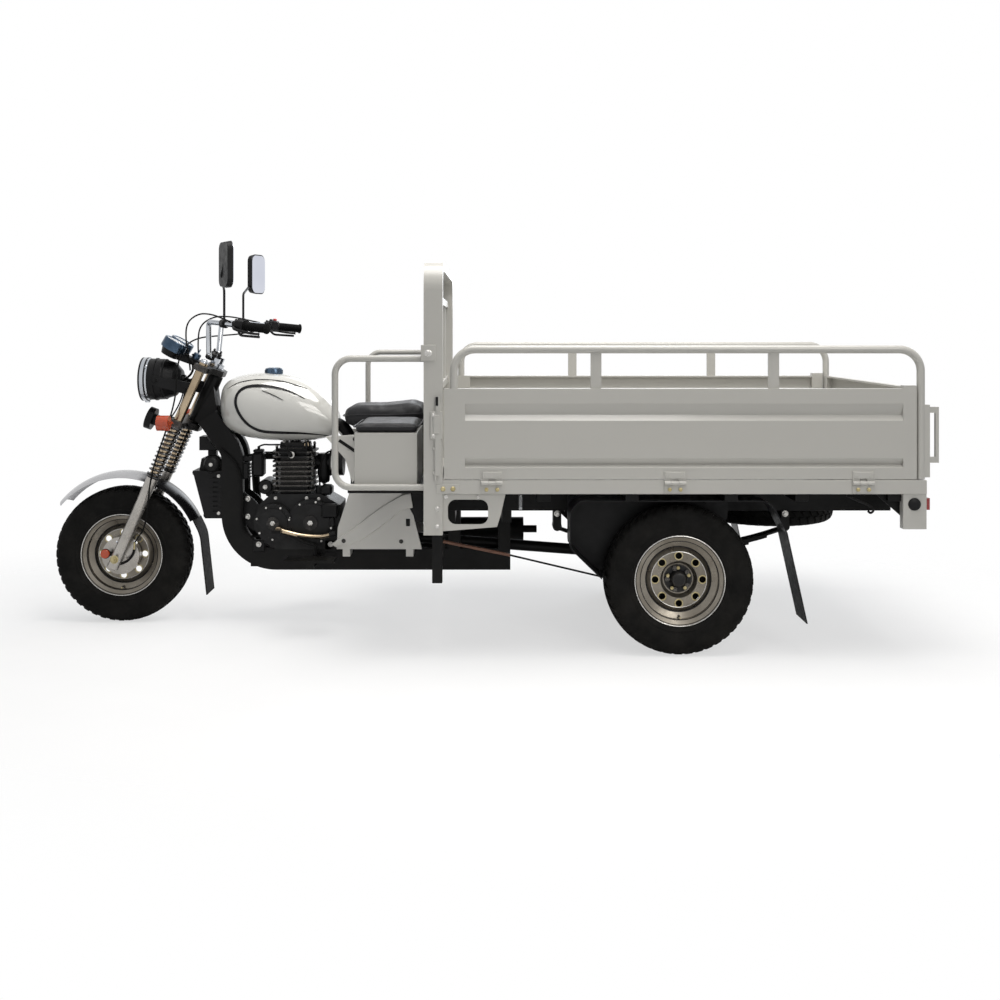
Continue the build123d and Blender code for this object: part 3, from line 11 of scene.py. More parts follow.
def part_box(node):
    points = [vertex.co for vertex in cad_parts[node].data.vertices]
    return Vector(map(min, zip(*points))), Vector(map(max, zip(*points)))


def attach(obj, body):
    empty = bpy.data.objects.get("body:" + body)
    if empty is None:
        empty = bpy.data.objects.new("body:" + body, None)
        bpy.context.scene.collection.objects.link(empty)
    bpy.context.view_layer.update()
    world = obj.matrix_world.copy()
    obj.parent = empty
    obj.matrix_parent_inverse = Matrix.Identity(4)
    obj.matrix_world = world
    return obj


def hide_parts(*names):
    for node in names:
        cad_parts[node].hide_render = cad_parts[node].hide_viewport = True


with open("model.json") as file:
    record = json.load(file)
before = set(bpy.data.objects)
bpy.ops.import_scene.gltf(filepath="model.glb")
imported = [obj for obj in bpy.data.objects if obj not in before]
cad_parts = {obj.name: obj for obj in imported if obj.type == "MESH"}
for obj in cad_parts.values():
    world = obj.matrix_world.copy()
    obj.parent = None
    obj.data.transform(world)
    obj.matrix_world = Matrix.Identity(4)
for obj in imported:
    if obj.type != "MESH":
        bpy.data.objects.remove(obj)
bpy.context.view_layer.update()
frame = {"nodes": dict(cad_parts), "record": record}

nodes = frame["nodes"]
scene = bpy.context.scene

# Shared directions and places

forward, left, up = Vector((1, 0, 0)), Vector((0, 1, 0)), Vector((0, 0, 1))
rake = radians(24)
fork_up = Vector((-sin(rake), 0, cos(rake)))
fork_forward = Vector((cos(rake), 0, sin(rake)))
front_axle = Vector((1.484, 0, 0.284))
rear_axle_x = -0.78
wheel_y = 0.51
tyre_radius = 0.284
leg_y = 0.116
engine_z = 0.43
hinge_xs = (-0.071, -0.751, -1.45)


def fork_point(ahead, across, high):
    """A point given along the fork's own directions, from the front axle."""
    c, s = cos(rake), sin(rake)
    return front_axle + Vector((ahead * c - high * s, across, ahead * s + high * c))


def mirrored(point):
    """The same point on the other side of the vehicle."""
    return Vector((point[0], -point[1], point[2]))


def around(first, second, turn):
    """The direction that lies at an angle from the first towards the second."""
    return first * cos(turn) + second * sin(turn)


def square_to(axis):
    """Two directions square to the axis and to each other."""
    first = axis.cross(up if abs(axis.z) < 0.9 else forward).normalized()
    return first, axis.cross(first)


def basis_of(*directions):
    """The matrix that turns X, Y and Z to three directions."""
    return Matrix(directions).transposed()


def add_object(name, data):
    made = bpy.data.objects.new(name, data)
    scene.collection.objects.link(made)
    return made


# Camera

camera_data = bpy.data.cameras.new("camera")
camera_data.sensor_width = 36
camera_data.lens = 41.9
camera_data.shift_x = 0.012
camera_data.shift_y = -0.171
camera = add_object("camera", camera_data)
camera.location = (-0.0565, 4.95, 1.234)
camera.rotation_euler = (radians(90), 0, radians(180))
scene.camera = camera
scene.view_settings.view_transform = "Standard"


# Node trees

def rgba(colour):
    """A full colour from a grey level or from red, green and blue; a socket stays as it is."""
    if isinstance(colour, bpy.types.NodeSocket):
        return colour
    return (*colour, 1) if isinstance(colour, tuple) else (colour, colour, colour, 1)


class Nodes:
    """Builds the node tree of a material or of the world."""

    def __init__(self, owner, output):
        owner.use_nodes = True
        self.owner = owner
        self.tree = owner.node_tree
        self.tree.nodes.clear()
        self.output = self.add(output)

    def add(self, kind, inputs=None, **settings):
        """A node. An input takes a socket, a node for its first output, or a constant."""
        node = self.tree.nodes.new("ShaderNode" + kind)
        for key, value in settings.items():
            setattr(node, key, value)
        for key, value in (inputs or {}).items():
            source = value.outputs[0] if isinstance(value, bpy.types.Node) else value
            if isinstance(source, bpy.types.NodeSocket):
                self.tree.links.new(source, node.inputs[key])
            else:
                node.inputs[key].default_value = source
        return node

    def math(self, operation, first, second):
        return self.add("Math", {0: first, 1: second}, operation=operation).outputs[0]

    def mix(self, factor, first, second):
        return self.add("Mix", {0: factor, 6: rgba(first), 7: rgba(second)}, data_type="RGBA").outputs[2]

    def spread(self, value, low, high, to_low=0.0, to_high=1.0):
        inputs = {"Value": value, "From Min": low, "From Max": high, "To Min": to_low, "To Max": to_high}
        return self.add("MapRange", inputs, interpolation_type="SMOOTHSTEP").outputs["Result"]

    def close(self, kind, inputs):
        """Ends the tree with its last shader."""
        self.tree.links.new(self.add(kind, inputs).outputs[0], self.output.inputs[0])
        return self.owner


class Surface(Nodes):
    """A material's tree, over the piece's own coordinates."""

    def __init__(self, name):
        super().__init__(bpy.data.materials.new(name), "OutputMaterial")
        self.place = self.add("TexCoord").outputs["Object"]

    def noise(self, scale, detail=4.0, roughness=0.55):
        inputs = {"Vector": self.place, "Scale": scale, "Detail": detail, "Roughness": roughness}
        return self.add("TexNoise", inputs).outputs["Fac"]

    def drift(self, scale, low=0.0, high=1.0, detail=4.0):
        """A value that wanders between low and high over the surface."""
        return self.spread(self.noise(scale, detail), 0.3, 0.7, low, high)

    def bump(self, strength, distance, height):
        return self.add("Bump", {"Strength": strength, "Distance": distance, "Height": height})


# Materials

def finish(
    name, dark, light, rough, tone_scale, grain_scale, grain, metal=0.0, coat=0.0, specular=0.5, dust=0.0,
    dust_colour=(0.3, 0.27, 0.22), painted_glints=None, wear=None,
):
    """A surface with drifting tone, changing gloss, fine relief, dust that gathers low down, and where asked
    light specks painted as glints.
    """
    n = Surface(name)
    colour = n.mix(n.drift(tone_scale), dark, light)
    fine = n.noise(grain_scale, 3.0)
    # Painted highlights: light specks in the colour stand in for glints of light on a glossy surface.
    if painted_glints:
        scale, share, glint_colour = painted_glints
        glints = n.spread(n.noise(scale, 2.0, 0.7), 1 - share, 1 - share + 0.06)
        colour = n.mix(glints, colour, glint_colour)
    if wear:
        edge = n.add("NewGeometry").outputs["Pointiness"]
        worn = n.math("MULTIPLY", n.spread(edge, 0.52, 0.6), n.spread(fine, 0.4, 0.6))
        colour = n.mix(worn, colour, wear)
    if dust:
        height = n.add("SeparateXYZ", {0: n.place}).outputs["Z"]
        low = n.spread(height, 0.0, 0.75, dust, dust * 0.12)
        patch = n.spread(n.noise(9.0, 6.0, 0.65), 0.35, 0.75)
        colour = n.mix(n.math("MULTIPLY", low, patch), colour, dust_colour)
    return n.close("BsdfPrincipled", {
        "Base Color": colour, "Roughness": n.drift(tone_scale * 6, *rough, 5.0), "Metallic": metal,
        "Coat Weight": coat, "Coat Roughness": 0.06, "Specular IOR Level": specular,
        "Normal": n.bump(grain, 0.0006, fine),
    })


def leather(name):
    """Black vinyl: cells of grain between fine creases."""
    n = Surface(name)
    cells = n.add("TexVoronoi", {"Vector": n.place, "Scale": 420.0}, feature="DISTANCE_TO_EDGE")
    crease = n.spread(cells.outputs["Distance"], 0.0, 0.12)
    return n.close("BsdfPrincipled", {
        "Base Color": n.mix(n.drift(5.0), (0.006, 0.006, 0.0072), (0.013, 0.013, 0.015)),
        "Roughness": n.drift(30.0, 0.4, 0.52), "Sheen Weight": 0.05, "Specular IOR Level": 0.3,
        "Normal": n.bump(0.35, 0.0004, crease),
    })


def lens(name, dark, light, clear=0.0):
    """Moulded lens plastic with its fine ribs."""
    n = Surface(name)
    wave = n.add("TexWave", {"Vector": n.place, "Scale": 90.0, "Distortion": 0.3}, bands_direction="Z")
    ribs = wave.outputs["Fac"]
    return n.close("BsdfPrincipled", {
        "Base Color": n.mix(n.spread(ribs, 0.2, 0.8), dark, light), "Roughness": n.drift(40.0, 0.05, 0.12),
        "Transmission Weight": clear, "IOR": 1.46, "Coat Weight": 0.4, "Normal": n.bump(0.35, 0.0008, ribs),
    })


def fender_painted_light():
    """The front mudguard, one plated metal: painted light grey ahead of the fork as a painted reflection of the
    bright sky, near black behind it as painted shade.
    """
    n = Surface("fender_two_tone")
    along = n.add("SeparateXYZ", {0: n.place}).outputs["X"]
    # Painted light: the colour turns from painted shade behind the fork to a painted reflection ahead of it.
    front = n.spread(n.math("ADD", along, n.drift(14.0, -0.02, 0.02)), 1.36, 1.44)
    tone = n.drift(9.0)
    silver = n.mix(tone, (0.44, 0.44, 0.45), (0.48, 0.48, 0.49))
    black = n.mix(tone, (0.008, 0.008, 0.009), (0.02, 0.02, 0.022))
    return n.close("BsdfPrincipled", {
        "Base Color": n.mix(front, black, silver), "Roughness": n.drift(5.0, 0.21, 0.25), "Metallic": 0.65,
        "Normal": n.bump(0.02, 0.0004, n.noise(300.0)),
    })


# After the name: darker and lighter colour, roughness, scale of the tone, scale and strength of the grain
paint = {
    "body_paint": finish(
        "paint_grey_white", (0.44, 0.43, 0.398), (0.456, 0.446, 0.414), (0.285, 0.305), 0.9, 220, 0.05,
        coat=0.15,
    ),
    # Painted light: this white is lighter than the body paint and stands in for sunlight falling on the side
    # covers.
    "plastic_white": finish(
        "plastic_grey_white", (0.6, 0.585, 0.545), (0.63, 0.615, 0.575), (0.3, 0.33), 2, 260, 0.05, coat=0.15,
    ),
    "chassis_paint": finish(
        "paint_black_satin", 0.003, 0.006, (0.34, 0.5), 6, 180, 0.15, dust=0.02, specular=0.12,
    ),
    "black_plastic": finish(
        "plastic_black", (0.004, 0.004, 0.0043), (0.008, 0.008, 0.0085), (0.34, 0.48), 8, 900, 0.25,
        dust=0.01, specular=0.15,
    ),
    "seat_cover": leather("vinyl_black"),
    "tyre": finish(
        "tyre_rubber", (0.0045, 0.0045, 0.0043), (0.009, 0.0087, 0.0083), (0.58, 0.74), 14, 420, 0.35,
        dust=0.022, specular=0.06,
    ),
    "black_rubber": finish(
        "rubber_black", 0.0035, 0.0065, (0.54, 0.68), 18, 500, 0.25, dust=0.015, specular=0.07,
    ),
    "wheel_silver": finish(
        "wheel_silver", (0.13, 0.116, 0.094), (0.215, 0.197, 0.168), (0.26, 0.38), 7, 500, 0.08, metal=0.85,
        dust=0.1, dust_colour=(0.16, 0.12, 0.085),
    ),
    "fork_silver": finish(
        "cast_silver", (0.31, 0.293, 0.27), (0.4, 0.382, 0.358), (0.24, 0.36), 9, 500, 0.12, metal=0.85,
        dust=0.06,
    ),
    "fork_bronze": finish(
        "tube_bronze", (0.32, 0.25, 0.17), (0.46, 0.37, 0.26), (0.14, 0.24), 9, 600, 0.05, metal=1.0,
    ),
    "chrome": finish("chrome", (0.4, 0.42, 0.45), (0.52, 0.54, 0.57), (0.06, 0.13), 9, 500, 0.03, metal=1.0),
    "engine_black": finish(
        "casting_black", (0.004, 0.004, 0.0042), (0.011, 0.011, 0.0115), (0.3, 0.5), 24, 420, 0.5, metal=0.1,
        dust=0.02, specular=0.2, wear=(0.14, 0.13, 0.12),
    ),
    "exhaust_black": finish(
        "exhaust_black", (0.006, 0.0055, 0.005), (0.013, 0.012, 0.011), (0.45, 0.6), 12, 260, 0.3, dust=0.04,
        specular=0.15,
    ),
    "lens_clear": lens("lens_clear", (0.86, 0.9, 0.93), (0.96, 0.97, 0.98), clear=0.85),
    "lens_orange": lens("lens_orange", (0.36, 0.035, 0.006), (0.52, 0.065, 0.01)),
    "lens_red": lens("lens_red", (0.22, 0.008, 0.008), (0.38, 0.014, 0.014)),
    "mirror_glass": finish(
        "mirror_glass", (0.6, 0.62, 0.7), (0.68, 0.7, 0.77), (0.015, 0.04), 4, 60, 0.01, metal=1.0,
    ),
    "cap_blue": finish(
        "cap_dark_chrome", (0.035, 0.06, 0.095), (0.07, 0.11, 0.165), (0.14, 0.24), 20, 500, 0.05, metal=0.85,
    ),
}
zinc = finish("zinc_yellow", (0.3, 0.25, 0.12), (0.44, 0.38, 0.22), (0.28, 0.42), 60, 700, 0.1, metal=0.85)
steel = finish("steel_bright", (0.42, 0.41, 0.39), (0.56, 0.55, 0.53), (0.22, 0.36), 50, 700, 0.1, metal=0.95)
stripe_black = finish(
    "stripe_black", (0.005, 0.005, 0.006), (0.009, 0.009, 0.0105), (0.24, 0.34), 20, 400, 0.03, specular=0.15,
)
button_red = finish("button_red", (0.42, 0.02, 0.02), (0.55, 0.03, 0.03), (0.25, 0.35), 60, 500, 0.05)
stripe_brown = finish(
    "rail_orange_brown", (0.095, 0.035, 0.018), (0.15, 0.058, 0.028), (0.35, 0.5), 30, 300, 0.1, dust=0.1,
)
reflector = finish("reflector", (0.7, 0.71, 0.72), (0.8, 0.81, 0.82), (0.04, 0.1), 30, 90, 0.1, metal=1.0)
dial_white = finish("dial_white", (0.7, 0.7, 0.68), (0.76, 0.76, 0.74), (0.4, 0.5), 40, 500, 0.02)
# The springs' light specks are painted glints on their glossy black coils.
spring_black = finish(
    "spring_black", (0.012, 0.012, 0.013), (0.024, 0.024, 0.026), (0.1, 0.2), 30, 500, 0.05, coat=0.5,
    painted_glints=(60, 0.36, (0.3, 0.3, 0.31)),
)
tank_paint = finish(
    "tank_pearl", (0.5, 0.495, 0.465), (0.55, 0.545, 0.515), (0.1, 0.16), 2.5, 900, 0.02, coat=0.8,
)

slot_of = {row["node"]: row["material_slot"] for row in frame["record"]["subparts"]}
for node_name, node in nodes.items():
    node.data.materials.clear()
    node.data.materials.append(paint[slot_of[node_name]])
# The mudguard's colour carries a painted reflection ahead of the fork and painted shade behind it.
nodes["front_mudguard"].data.materials[0] = fender_painted_light()


# Mesh kit: every added piece is one joined mesh made from these strokes

class Kit:
    """Collects strokes of geometry into one mesh."""

    def __init__(self):
        self.verts = []
        self.faces = []

    def put(self, verts, faces):
        base = len(self.verts)
        self.verts += [Vector(v) for v in verts]
        self.faces += [[base + i for i in face] for face in faces]

    def mirror(self):
        """Adds the same strokes on the other side of the vehicle."""
        self.put([mirrored(v) for v in self.verts], [face[::-1] for face in self.faces])

    def rings(self, rings, closed=False, round_rings=True):
        """Skins equal rings of points; a run that doesn't close on itself gets a cap on each end."""
        total, count = len(rings), len(rings[0])
        faces = []
        for r in range(total if closed else total - 1):
            a, b = r * count, (r + 1) % total * count
            for i in range(count if round_rings else count - 1):
                j = (i + 1) % count
                faces.append([a + i, a + j, b + j, b + i])
        if not closed:
            faces.append(list(range(count))[::-1])
            faces.append([(total - 1) * count + i for i in range(count)])
        self.put([p for ring in rings for p in ring], faces)

    def tube(self, points, radius, sides=12, closed=False):
        """A round bar along a line of points; radius may be a list, one for each point."""
        points = [Vector(p) for p in points]
        count = len(points)
        radii = radius if isinstance(radius, list) else [radius] * count
        side = None
        rings = []
        for i, p in enumerate(points):
            before = points[i - 1] if (i or closed) else p
            after = points[(i + 1) % count] if (i < count - 1 or closed) else p
            along = (after - before).normalized()
            side = side or square_to(along)[0]
            side = (side - along * side.dot(along)).normalized()
            other = along.cross(side)
            rings.append([p + around(side, other, 2 * pi * k / sides) * radii[i] for k in range(sides)])
        self.rings(rings, closed)

    def rod(self, start, end, radius, sides=10, chamfer=0.0):
        """A straight bar, with chamfered ends where asked."""
        start, end = Vector(start), Vector(end)
        if not chamfer:
            self.tube([start, end], radius, sides)
            return
        step = (end - start).normalized() * chamfer
        tip = radius - chamfer
        self.tube([start, start + step, end - step, end], [tip, radius, radius, tip], sides)

    def lathe(self, profile, centre, axis, segments=48, closed=True):
        """A turned form from (radius, along) points; a profile that ends on the axis stays open."""
        axis, centre = Vector(axis).normalized(), Vector(centre)
        first, second = square_to(axis)
        rings = []
        for k in range(segments):
            out = around(first, second, 2 * pi * k / segments)
            rings.append([centre + out * radius + axis * along for radius, along in profile])
        self.rings(rings, True, closed and profile[-1][0] > 0)

    def slab(self, centre, size, chamfer=0.0015, turn=None):
        """A box with chamfered edges, turned by a matrix."""
        turn = turn or Matrix.Identity(3)
        half_x, half_y, half_z = (s / 2 for s in size)
        cut = min(chamfer, half_x * 0.45, half_y * 0.45, half_z * 0.45)
        rings = []
        for level, inset in ((-half_z, cut), (-half_z + cut, 0), (half_z - cut, 0), (half_z, cut)):
            x, y = half_x - inset, half_y - inset
            corners = (
                (x, -y + cut), (x, y - cut), (x - cut, y), (-x + cut, y),
                (-x, y - cut), (-x, -y + cut), (-x + cut, -y), (x - cut, -y),
            )
            rings.append([Vector(centre) + turn @ Vector((*corner, level)) for corner in corners])
        self.rings(rings)

    def bolt(self, base, axis, size, height, washer=True, dome=False):
        """A hexagon or domed head on a washer; size is across the flats."""
        axis, base = Vector(axis).normalized(), Vector(base)
        first, second = square_to(axis)
        sides = 16 if dome else 6
        start = 0.0
        if washer:
            levels, radii = (0.0, 0.0012, 0.0016), [size * 0.8, size * 0.8, size * 0.76]
            self.tube([base + axis * level for level in levels], radii, 20)
            start = 0.0014
        rings = []
        for level, share in ((start, 1.0), (start + height * 0.75, 1.0), (start + height, 0.84)):
            middle = base + axis * level
            turns = [2 * pi * k / sides for k in range(sides)]
            rings.append([middle + around(first, second, turn) * share * size * 0.577 for turn in turns])
        self.rings(rings)
        top = start + height
        self.rod(base + axis * top, base + axis * (top + size * 0.18), size * 0.28)

    def piece(self, name, body, slot, material=None, replaces=(), smooth=35):
        """Makes the mesh object; edges that turn by more than smooth degrees stay sharp."""
        mesh = bpy.data.meshes.new(name)
        mesh.from_pydata(self.verts, [], self.faces)
        work = bmesh.new()
        work.from_mesh(mesh)
        bmesh.ops.remove_doubles(work, verts=work.verts, dist=1e-6)
        bmesh.ops.recalc_face_normals(work, faces=work.faces)
        work.normal_update()
        for face in work.faces:
            face.smooth = True
        for edge in work.edges:
            edge.smooth = edge.calc_face_angle(0) <= radians(smooth)
        work.to_mesh(mesh)
        work.free()
        mesh.materials.append(material or paint[slot])
        made = add_object(name, mesh)
        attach(made, body)
        if replaces:
            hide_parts(*replaces)
        return made


def curve_through(points, steps):
    """A smooth line through points (Catmull-Rom)."""
    points = [Vector(p) for p in points]
    last = len(points) - 1
    line = []
    for i in range(last):
        p0, p1, p2, p3 = (points[min(max(i + k, 0), last)] for k in (-1, 0, 1, 2))
        for s in range(steps):
            t = s / steps
            line.append(0.5 * (
                2 * p1 + (p2 - p0) * t + (2 * p0 - 5 * p1 + 4 * p2 - p3) * t * t
                + (3 * p1 - p0 - 3 * p2 + p3) * t ** 3
            ))
    return [*line, points[-1]]


def rounded(low_u, high_u, low_v, high_v, corner):
    """Points round a rectangle with round corners, five to a corner."""
    points = []
    for u, v, start in (
        (high_u - corner, high_v - corner, 0), (low_u + corner, high_v - corner, 90),
        (low_u + corner, low_v + corner, 180), (high_u - corner, low_v + corner, 270),
    ):
        for k in range(5):
            turn = radians(start + 22.5 * k)
            points.append((u + corner * cos(turn), v + corner * sin(turn)))
    return points


# Tyres with their tread

lug_count = 44
tyre_section = (
    (0.1725, 0.0555), (0.178, 0.0605), (0.186, 0.0618), (0.188, 0.0632), (0.192, 0.0632), (0.194, 0.0622),
    (0.206, 0.0645), (0.22, 0.0658), (0.236, 0.066), (0.248, 0.065), (0.258, 0.0628), (0.2665, 0.0585),
    (0.2725, 0.05), (0.2755, 0.038), (0.277, 0.02), (0.2775, 0.0),
)
# Lugs: distance from the middle, radius at the foot and at the top
middle_lug = ((0.003, 0.274, 0.2838), (0.0235, 0.273, 0.2832))
shoulder_lug = (
    (0.029, 0.273, 0.2828), (0.044, 0.27, 0.2795), (0.0545, 0.266, 0.2735), (0.0612, 0.258, 0.264),
    (0.0652, 0.245, 0.25),
)


def tyre(name, body, centre, axis):
    """Carcass and lugs: two staggered middle rows and long shoulder lugs that wrap onto the side."""
    kit = Kit()
    inner = [(r, -y) for r, y in tyre_section[-2::-1]]
    kit.lathe([*tyre_section, *inner, (0.16, -0.046), (0.16, 0.046)], centre, axis, 112)
    centre, axis = Vector(centre), Vector(axis)
    first, second = square_to(axis)

    def spot(radius, turn, across):
        return centre + around(first, second, turn) * radius + axis * across

    def lug(path, side, turn, half_turn, skew):
        tight = half_turn * 0.86
        rings = []
        for offset, low, high in path:
            across = side * offset
            lean = turn + side * skew * across
            rings.append([
                spot(low, lean - half_turn, across), spot(low, lean + half_turn, across),
                spot(high, lean + tight, across), spot(high, lean - tight, across),
            ])
        kit.rings(rings)

    pitch = 2 * pi / lug_count
    for k in range(lug_count):
        for side in (1, -1):
            turn = k * pitch + (0 if side > 0 else pitch / 2)
            lug(middle_lug, side, turn, pitch * 0.33, 2.6)
            lug(shoulder_lug, side, turn + pitch * 0.5, pitch * 0.31, 1.4)
    kit.piece(name + "_tread", body, "tyre", replaces=[name], smooth=30)


tyre("front_tyre", "front_wheel", front_axle, left)
tyre("rear_left_tyre", "rear_left_wheel", (rear_axle_x, wheel_y, tyre_radius), left)
tyre("rear_right_tyre", "rear_right_wheel", (rear_axle_x, -wheel_y, tyre_radius), -left)
tyre("spare_tyre", "chassis", (-1.229, 0, 0.502), up)


# Fork springs: real coils round the tubes, with their seats

def fork_springs():
    kit = Kit()
    turns, radius, low, high = 11.5, 0.0265, 0.378, 0.594
    steps = int(turns * 22)
    for side in (leg_y, -leg_y):
        line = []
        for i in range(steps + 1):
            angle = 2 * pi * turns * i / steps
            height = low + (high - low) * i / steps
            line.append(fork_point(radius * cos(angle), side + radius * sin(angle), height))
        kit.tube(line, 0.0044, 8)
        for height in (low - 0.005, high + 0.003):
            kit.lathe(
                [(0.0195, -0.004), (0.03, -0.004), (0.031, -0.002), (0.031, 0.002), (0.0195, 0.003)],
                fork_point(0, side, height), fork_up, 32,
            )
    kit.piece("fork_coils", "fork", "chrome", spring_black, ["fork_springs"])


fork_springs()


# Fuel tank: a lofted shell with its painted lines, and one thin dark line as painted shade along a crease

# Columns: x, lowest and highest z, half width
tank_stations = (
    (1.0675, 0.89, 0.962, 0.052), (1.0645, 0.862, 0.988, 0.078), (1.055, 0.834, 1.006, 0.1),
    (1.036, 0.81, 1.022, 0.12), (1.0, 0.79, 1.036, 0.137), (0.95, 0.774, 1.047, 0.147),
    (0.89, 0.764, 1.0515, 0.15), (0.82, 0.762, 1.046, 0.148), (0.75, 0.762, 1.029, 0.139),
    (0.69, 0.763, 1.002, 0.126), (0.64, 0.768, 0.964, 0.112), (0.6, 0.78, 0.918, 0.099),
    (0.582, 0.796, 0.888, 0.09), (0.576, 0.812, 0.868, 0.078),
)


def tank_section(station, turn):
    """A point of one station's section; turn 0 is the left side, a quarter turn is the top."""
    x, low, high, half = station
    mid = low + (high - low) * 0.42
    c, s = cos(turn), sin(turn)
    power = 2 / 2.7 if s < 0 else 2 / 2.25
    y = half * (1 if c > 0 else -1) * abs(c) ** power
    return Vector((x, y, mid + (high - mid if s > 0 else low - mid) * abs(s) ** power))


def tank_between(x):
    """The station at any x, between the two in the table."""
    for a, b in zip(tank_stations, tank_stations[1:]):
        if a[0] >= x >= b[0]:
            t = (a[0] - x) / (a[0] - b[0])
            return tuple(p + (q - p) * t for p, q in zip(a, b))
    return tank_stations[-1] if x < tank_stations[-1][0] else tank_stations[0]


def tank_skin(point):
    """The point on the tank's left side at the same x and height, lifted a little off the paint."""
    station = tank_between(point.x)
    skin = (tank_section(station, radians(d)) for d in range(-80, 90))
    best = min(skin, key=lambda p: abs(p.z - point.z))
    return Vector((point.x, best.y + 0.0008, point.z))


def ribbon(kit, width, points):
    """A thin strip on the left side of the tank, along (x, z) points."""
    line = curve_through([(x, 0, z) for x, z in points], 6)
    count = len(line)
    edges = []
    for i, p in enumerate(line):
        along = (line[min(i + 1, count - 1)] - line[max(i - 1, 0)]).normalized()
        normal = Vector((-along.z, 0, along.x))
        half = width / 2 * min(1.0, 4 * min(i, count - 1 - i) / count + 0.15)
        edges.append((tank_skin(p + normal * half), tank_skin(p - normal * half)))
    faces = []
    for q in range(0, 4 * (count - 1), 4):
        r = q + 4
        faces += [[q, q + 1, r + 1, r], [q + 2, r + 2, r + 3, q + 3]]
        faces += [[q, r, r + 2, q + 2], [q + 1, q + 3, r + 3, r + 1]]
    kit.put([(p.x, p.y - depth, p.z) for pair in edges for depth in (0, 0.002) for p in pair], faces)


def fuel_tank():
    shell = Kit()
    shell.rings([[tank_section(station, 2 * pi * k / 40) for k in range(40)] for station in tank_stations])
    made = shell.piece("tank_shell", "chassis", "body_paint", tank_paint, ["fuel_tank"], 60)
    rounder = made.modifiers.new("rounder", "SUBSURF")
    rounder.levels = rounder.render_levels = 2
    lines = Kit()
    ribbon(lines, 0.0115, [
        (0.705, 0.945), (0.755, 0.97), (0.818, 0.99), (0.89, 0.999), (0.95, 0.992), (0.98, 0.968),
        (0.988, 0.932), (0.976, 0.893), (0.95, 0.855), (0.918, 0.827), (0.872, 0.809), (0.8, 0.804),
        (0.72, 0.801), (0.655, 0.794), (0.612, 0.788),
    ])
    # Painted shade: this thin dark line stands in for the shade along a crease in the tank's side.
    ribbon(lines, 0.0026, [(0.79, 0.94), (0.83, 0.96), (0.88, 0.98)])
    ribbon(lines, 0.0026, [(0.7, 0.985), (0.8, 1.016), (0.9, 1.0235), (0.98, 1.012), (1.03, 0.985)])
    lines.mirror()
    lines.piece("tank_lines_and_crease_shade", "chassis", None, stripe_black)


def fuel_cap():
    kit = Kit()
    kit.lathe(
        [
            (0.0, -0.004), (0.044, -0.004), (0.045, 0.0), (0.043, 0.004), (0.038, 0.006), (0.0375, 0.024),
            (0.035, 0.03), (0.026, 0.033), (0.024, 0.031), (0.012, 0.031), (0.01, 0.0335), (0.0, 0.0335),
        ],
        (0.854, 0, 1.0365), up,
    )
    for k in range(30):
        out = around(forward, left, 2 * pi * k / 30) * 0.0372
        kit.rod(Vector((0.854, 0, 1.0445)) + out, Vector((0.854, 0, 1.06)) + out, 0.0012, 6)
    kit.slab((0.854, 0, 1.0672), (0.03, 0.009, 0.005))
    kit.piece("fuel_cap_fluted", "chassis", "cap_blue", replaces=["fuel_cap"])


fuel_tank()
fuel_cap()


# Cushions: soft forms, inflated as cloth, then given piping

def apply_all(piece):
    """Turns the evaluated mesh into the piece's own."""
    bpy.context.view_layer.update()
    graph = bpy.context.evaluated_depsgraph_get()
    mesh = bpy.data.meshes.new_from_object(piece.evaluated_get(graph))
    piece.modifiers.clear()
    piece.data = mesh


def blow_up(piece, pressure, cap, flat_below):
    """Inflates the piece as cloth and keeps every point within cap of where it was."""
    rest = [v.co.copy() for v in piece.data.vertices]
    cloth = piece.modifiers.new("cloth", "CLOTH")
    cloth.settings.use_pressure = True
    cloth.settings.uniform_pressure_force = pressure
    cloth.settings.quality = 5
    cloth.settings.effector_weights.gravity = 0
    cloth.settings.tension_stiffness = cloth.settings.compression_stiffness = 15
    last_frame = 16
    cloth.point_cache.frame_start, cloth.point_cache.frame_end = 1, last_frame
    for step in range(1, last_frame + 1):
        scene.frame_set(step)
    apply_all(piece)
    scene.frame_set(1)
    for vertex, start in zip(piece.data.vertices, rest):
        move = vertex.co - start
        if move.length > cap:
            move *= cap / move.length
        vertex.co = start + move
        vertex.co.z = max(vertex.co.z, flat_below)


def cushion(name, rings, voxel, pressure, cap, flat_below, within=None):
    """A padded piece from upright sections, kept in the box of a CAD solid where one is named."""
    kit = Kit()
    kit.rings(rings)
    mesh = bpy.data.meshes.new(name)
    mesh.from_pydata(kit.verts, [], kit.faces)
    mesh.materials.append(paint["seat_cover"])
    made = add_object(name, mesh)
    remesh = made.modifiers.new("remesh", "REMESH")
    remesh.mode = "VOXEL"
    remesh.voxel_size = voxel
    apply_all(made)
    blow_up(made, pressure, cap, flat_below)
    smooth = made.modifiers.new("smooth", "SMOOTH")
    smooth.factor, smooth.iterations = 0.5, 4
    apply_all(made)
    made.data.polygons.foreach_set("use_smooth", [True] * len(made.data.polygons))
    if within:
        low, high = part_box(within)
        for vertex in made.data.vertices:
            for axis in range(3):
                vertex.co[axis] = min(max(vertex.co[axis], low[axis] - 0.001), high[axis] + 0.001)
    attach(made, "chassis")
    return made


def pad_ring(x, half_y, z_low, z_high, round_top, y_centre=0.0):
    """One upright section of a cushion: a rounded rectangle across the vehicle."""
    corner = min(round_top, half_y * 0.5, (z_high - z_low) * 0.48)
    return [Vector((x, y_centre + y, z)) for y, z in rounded(-half_y, half_y, z_low, z_high, corner)]


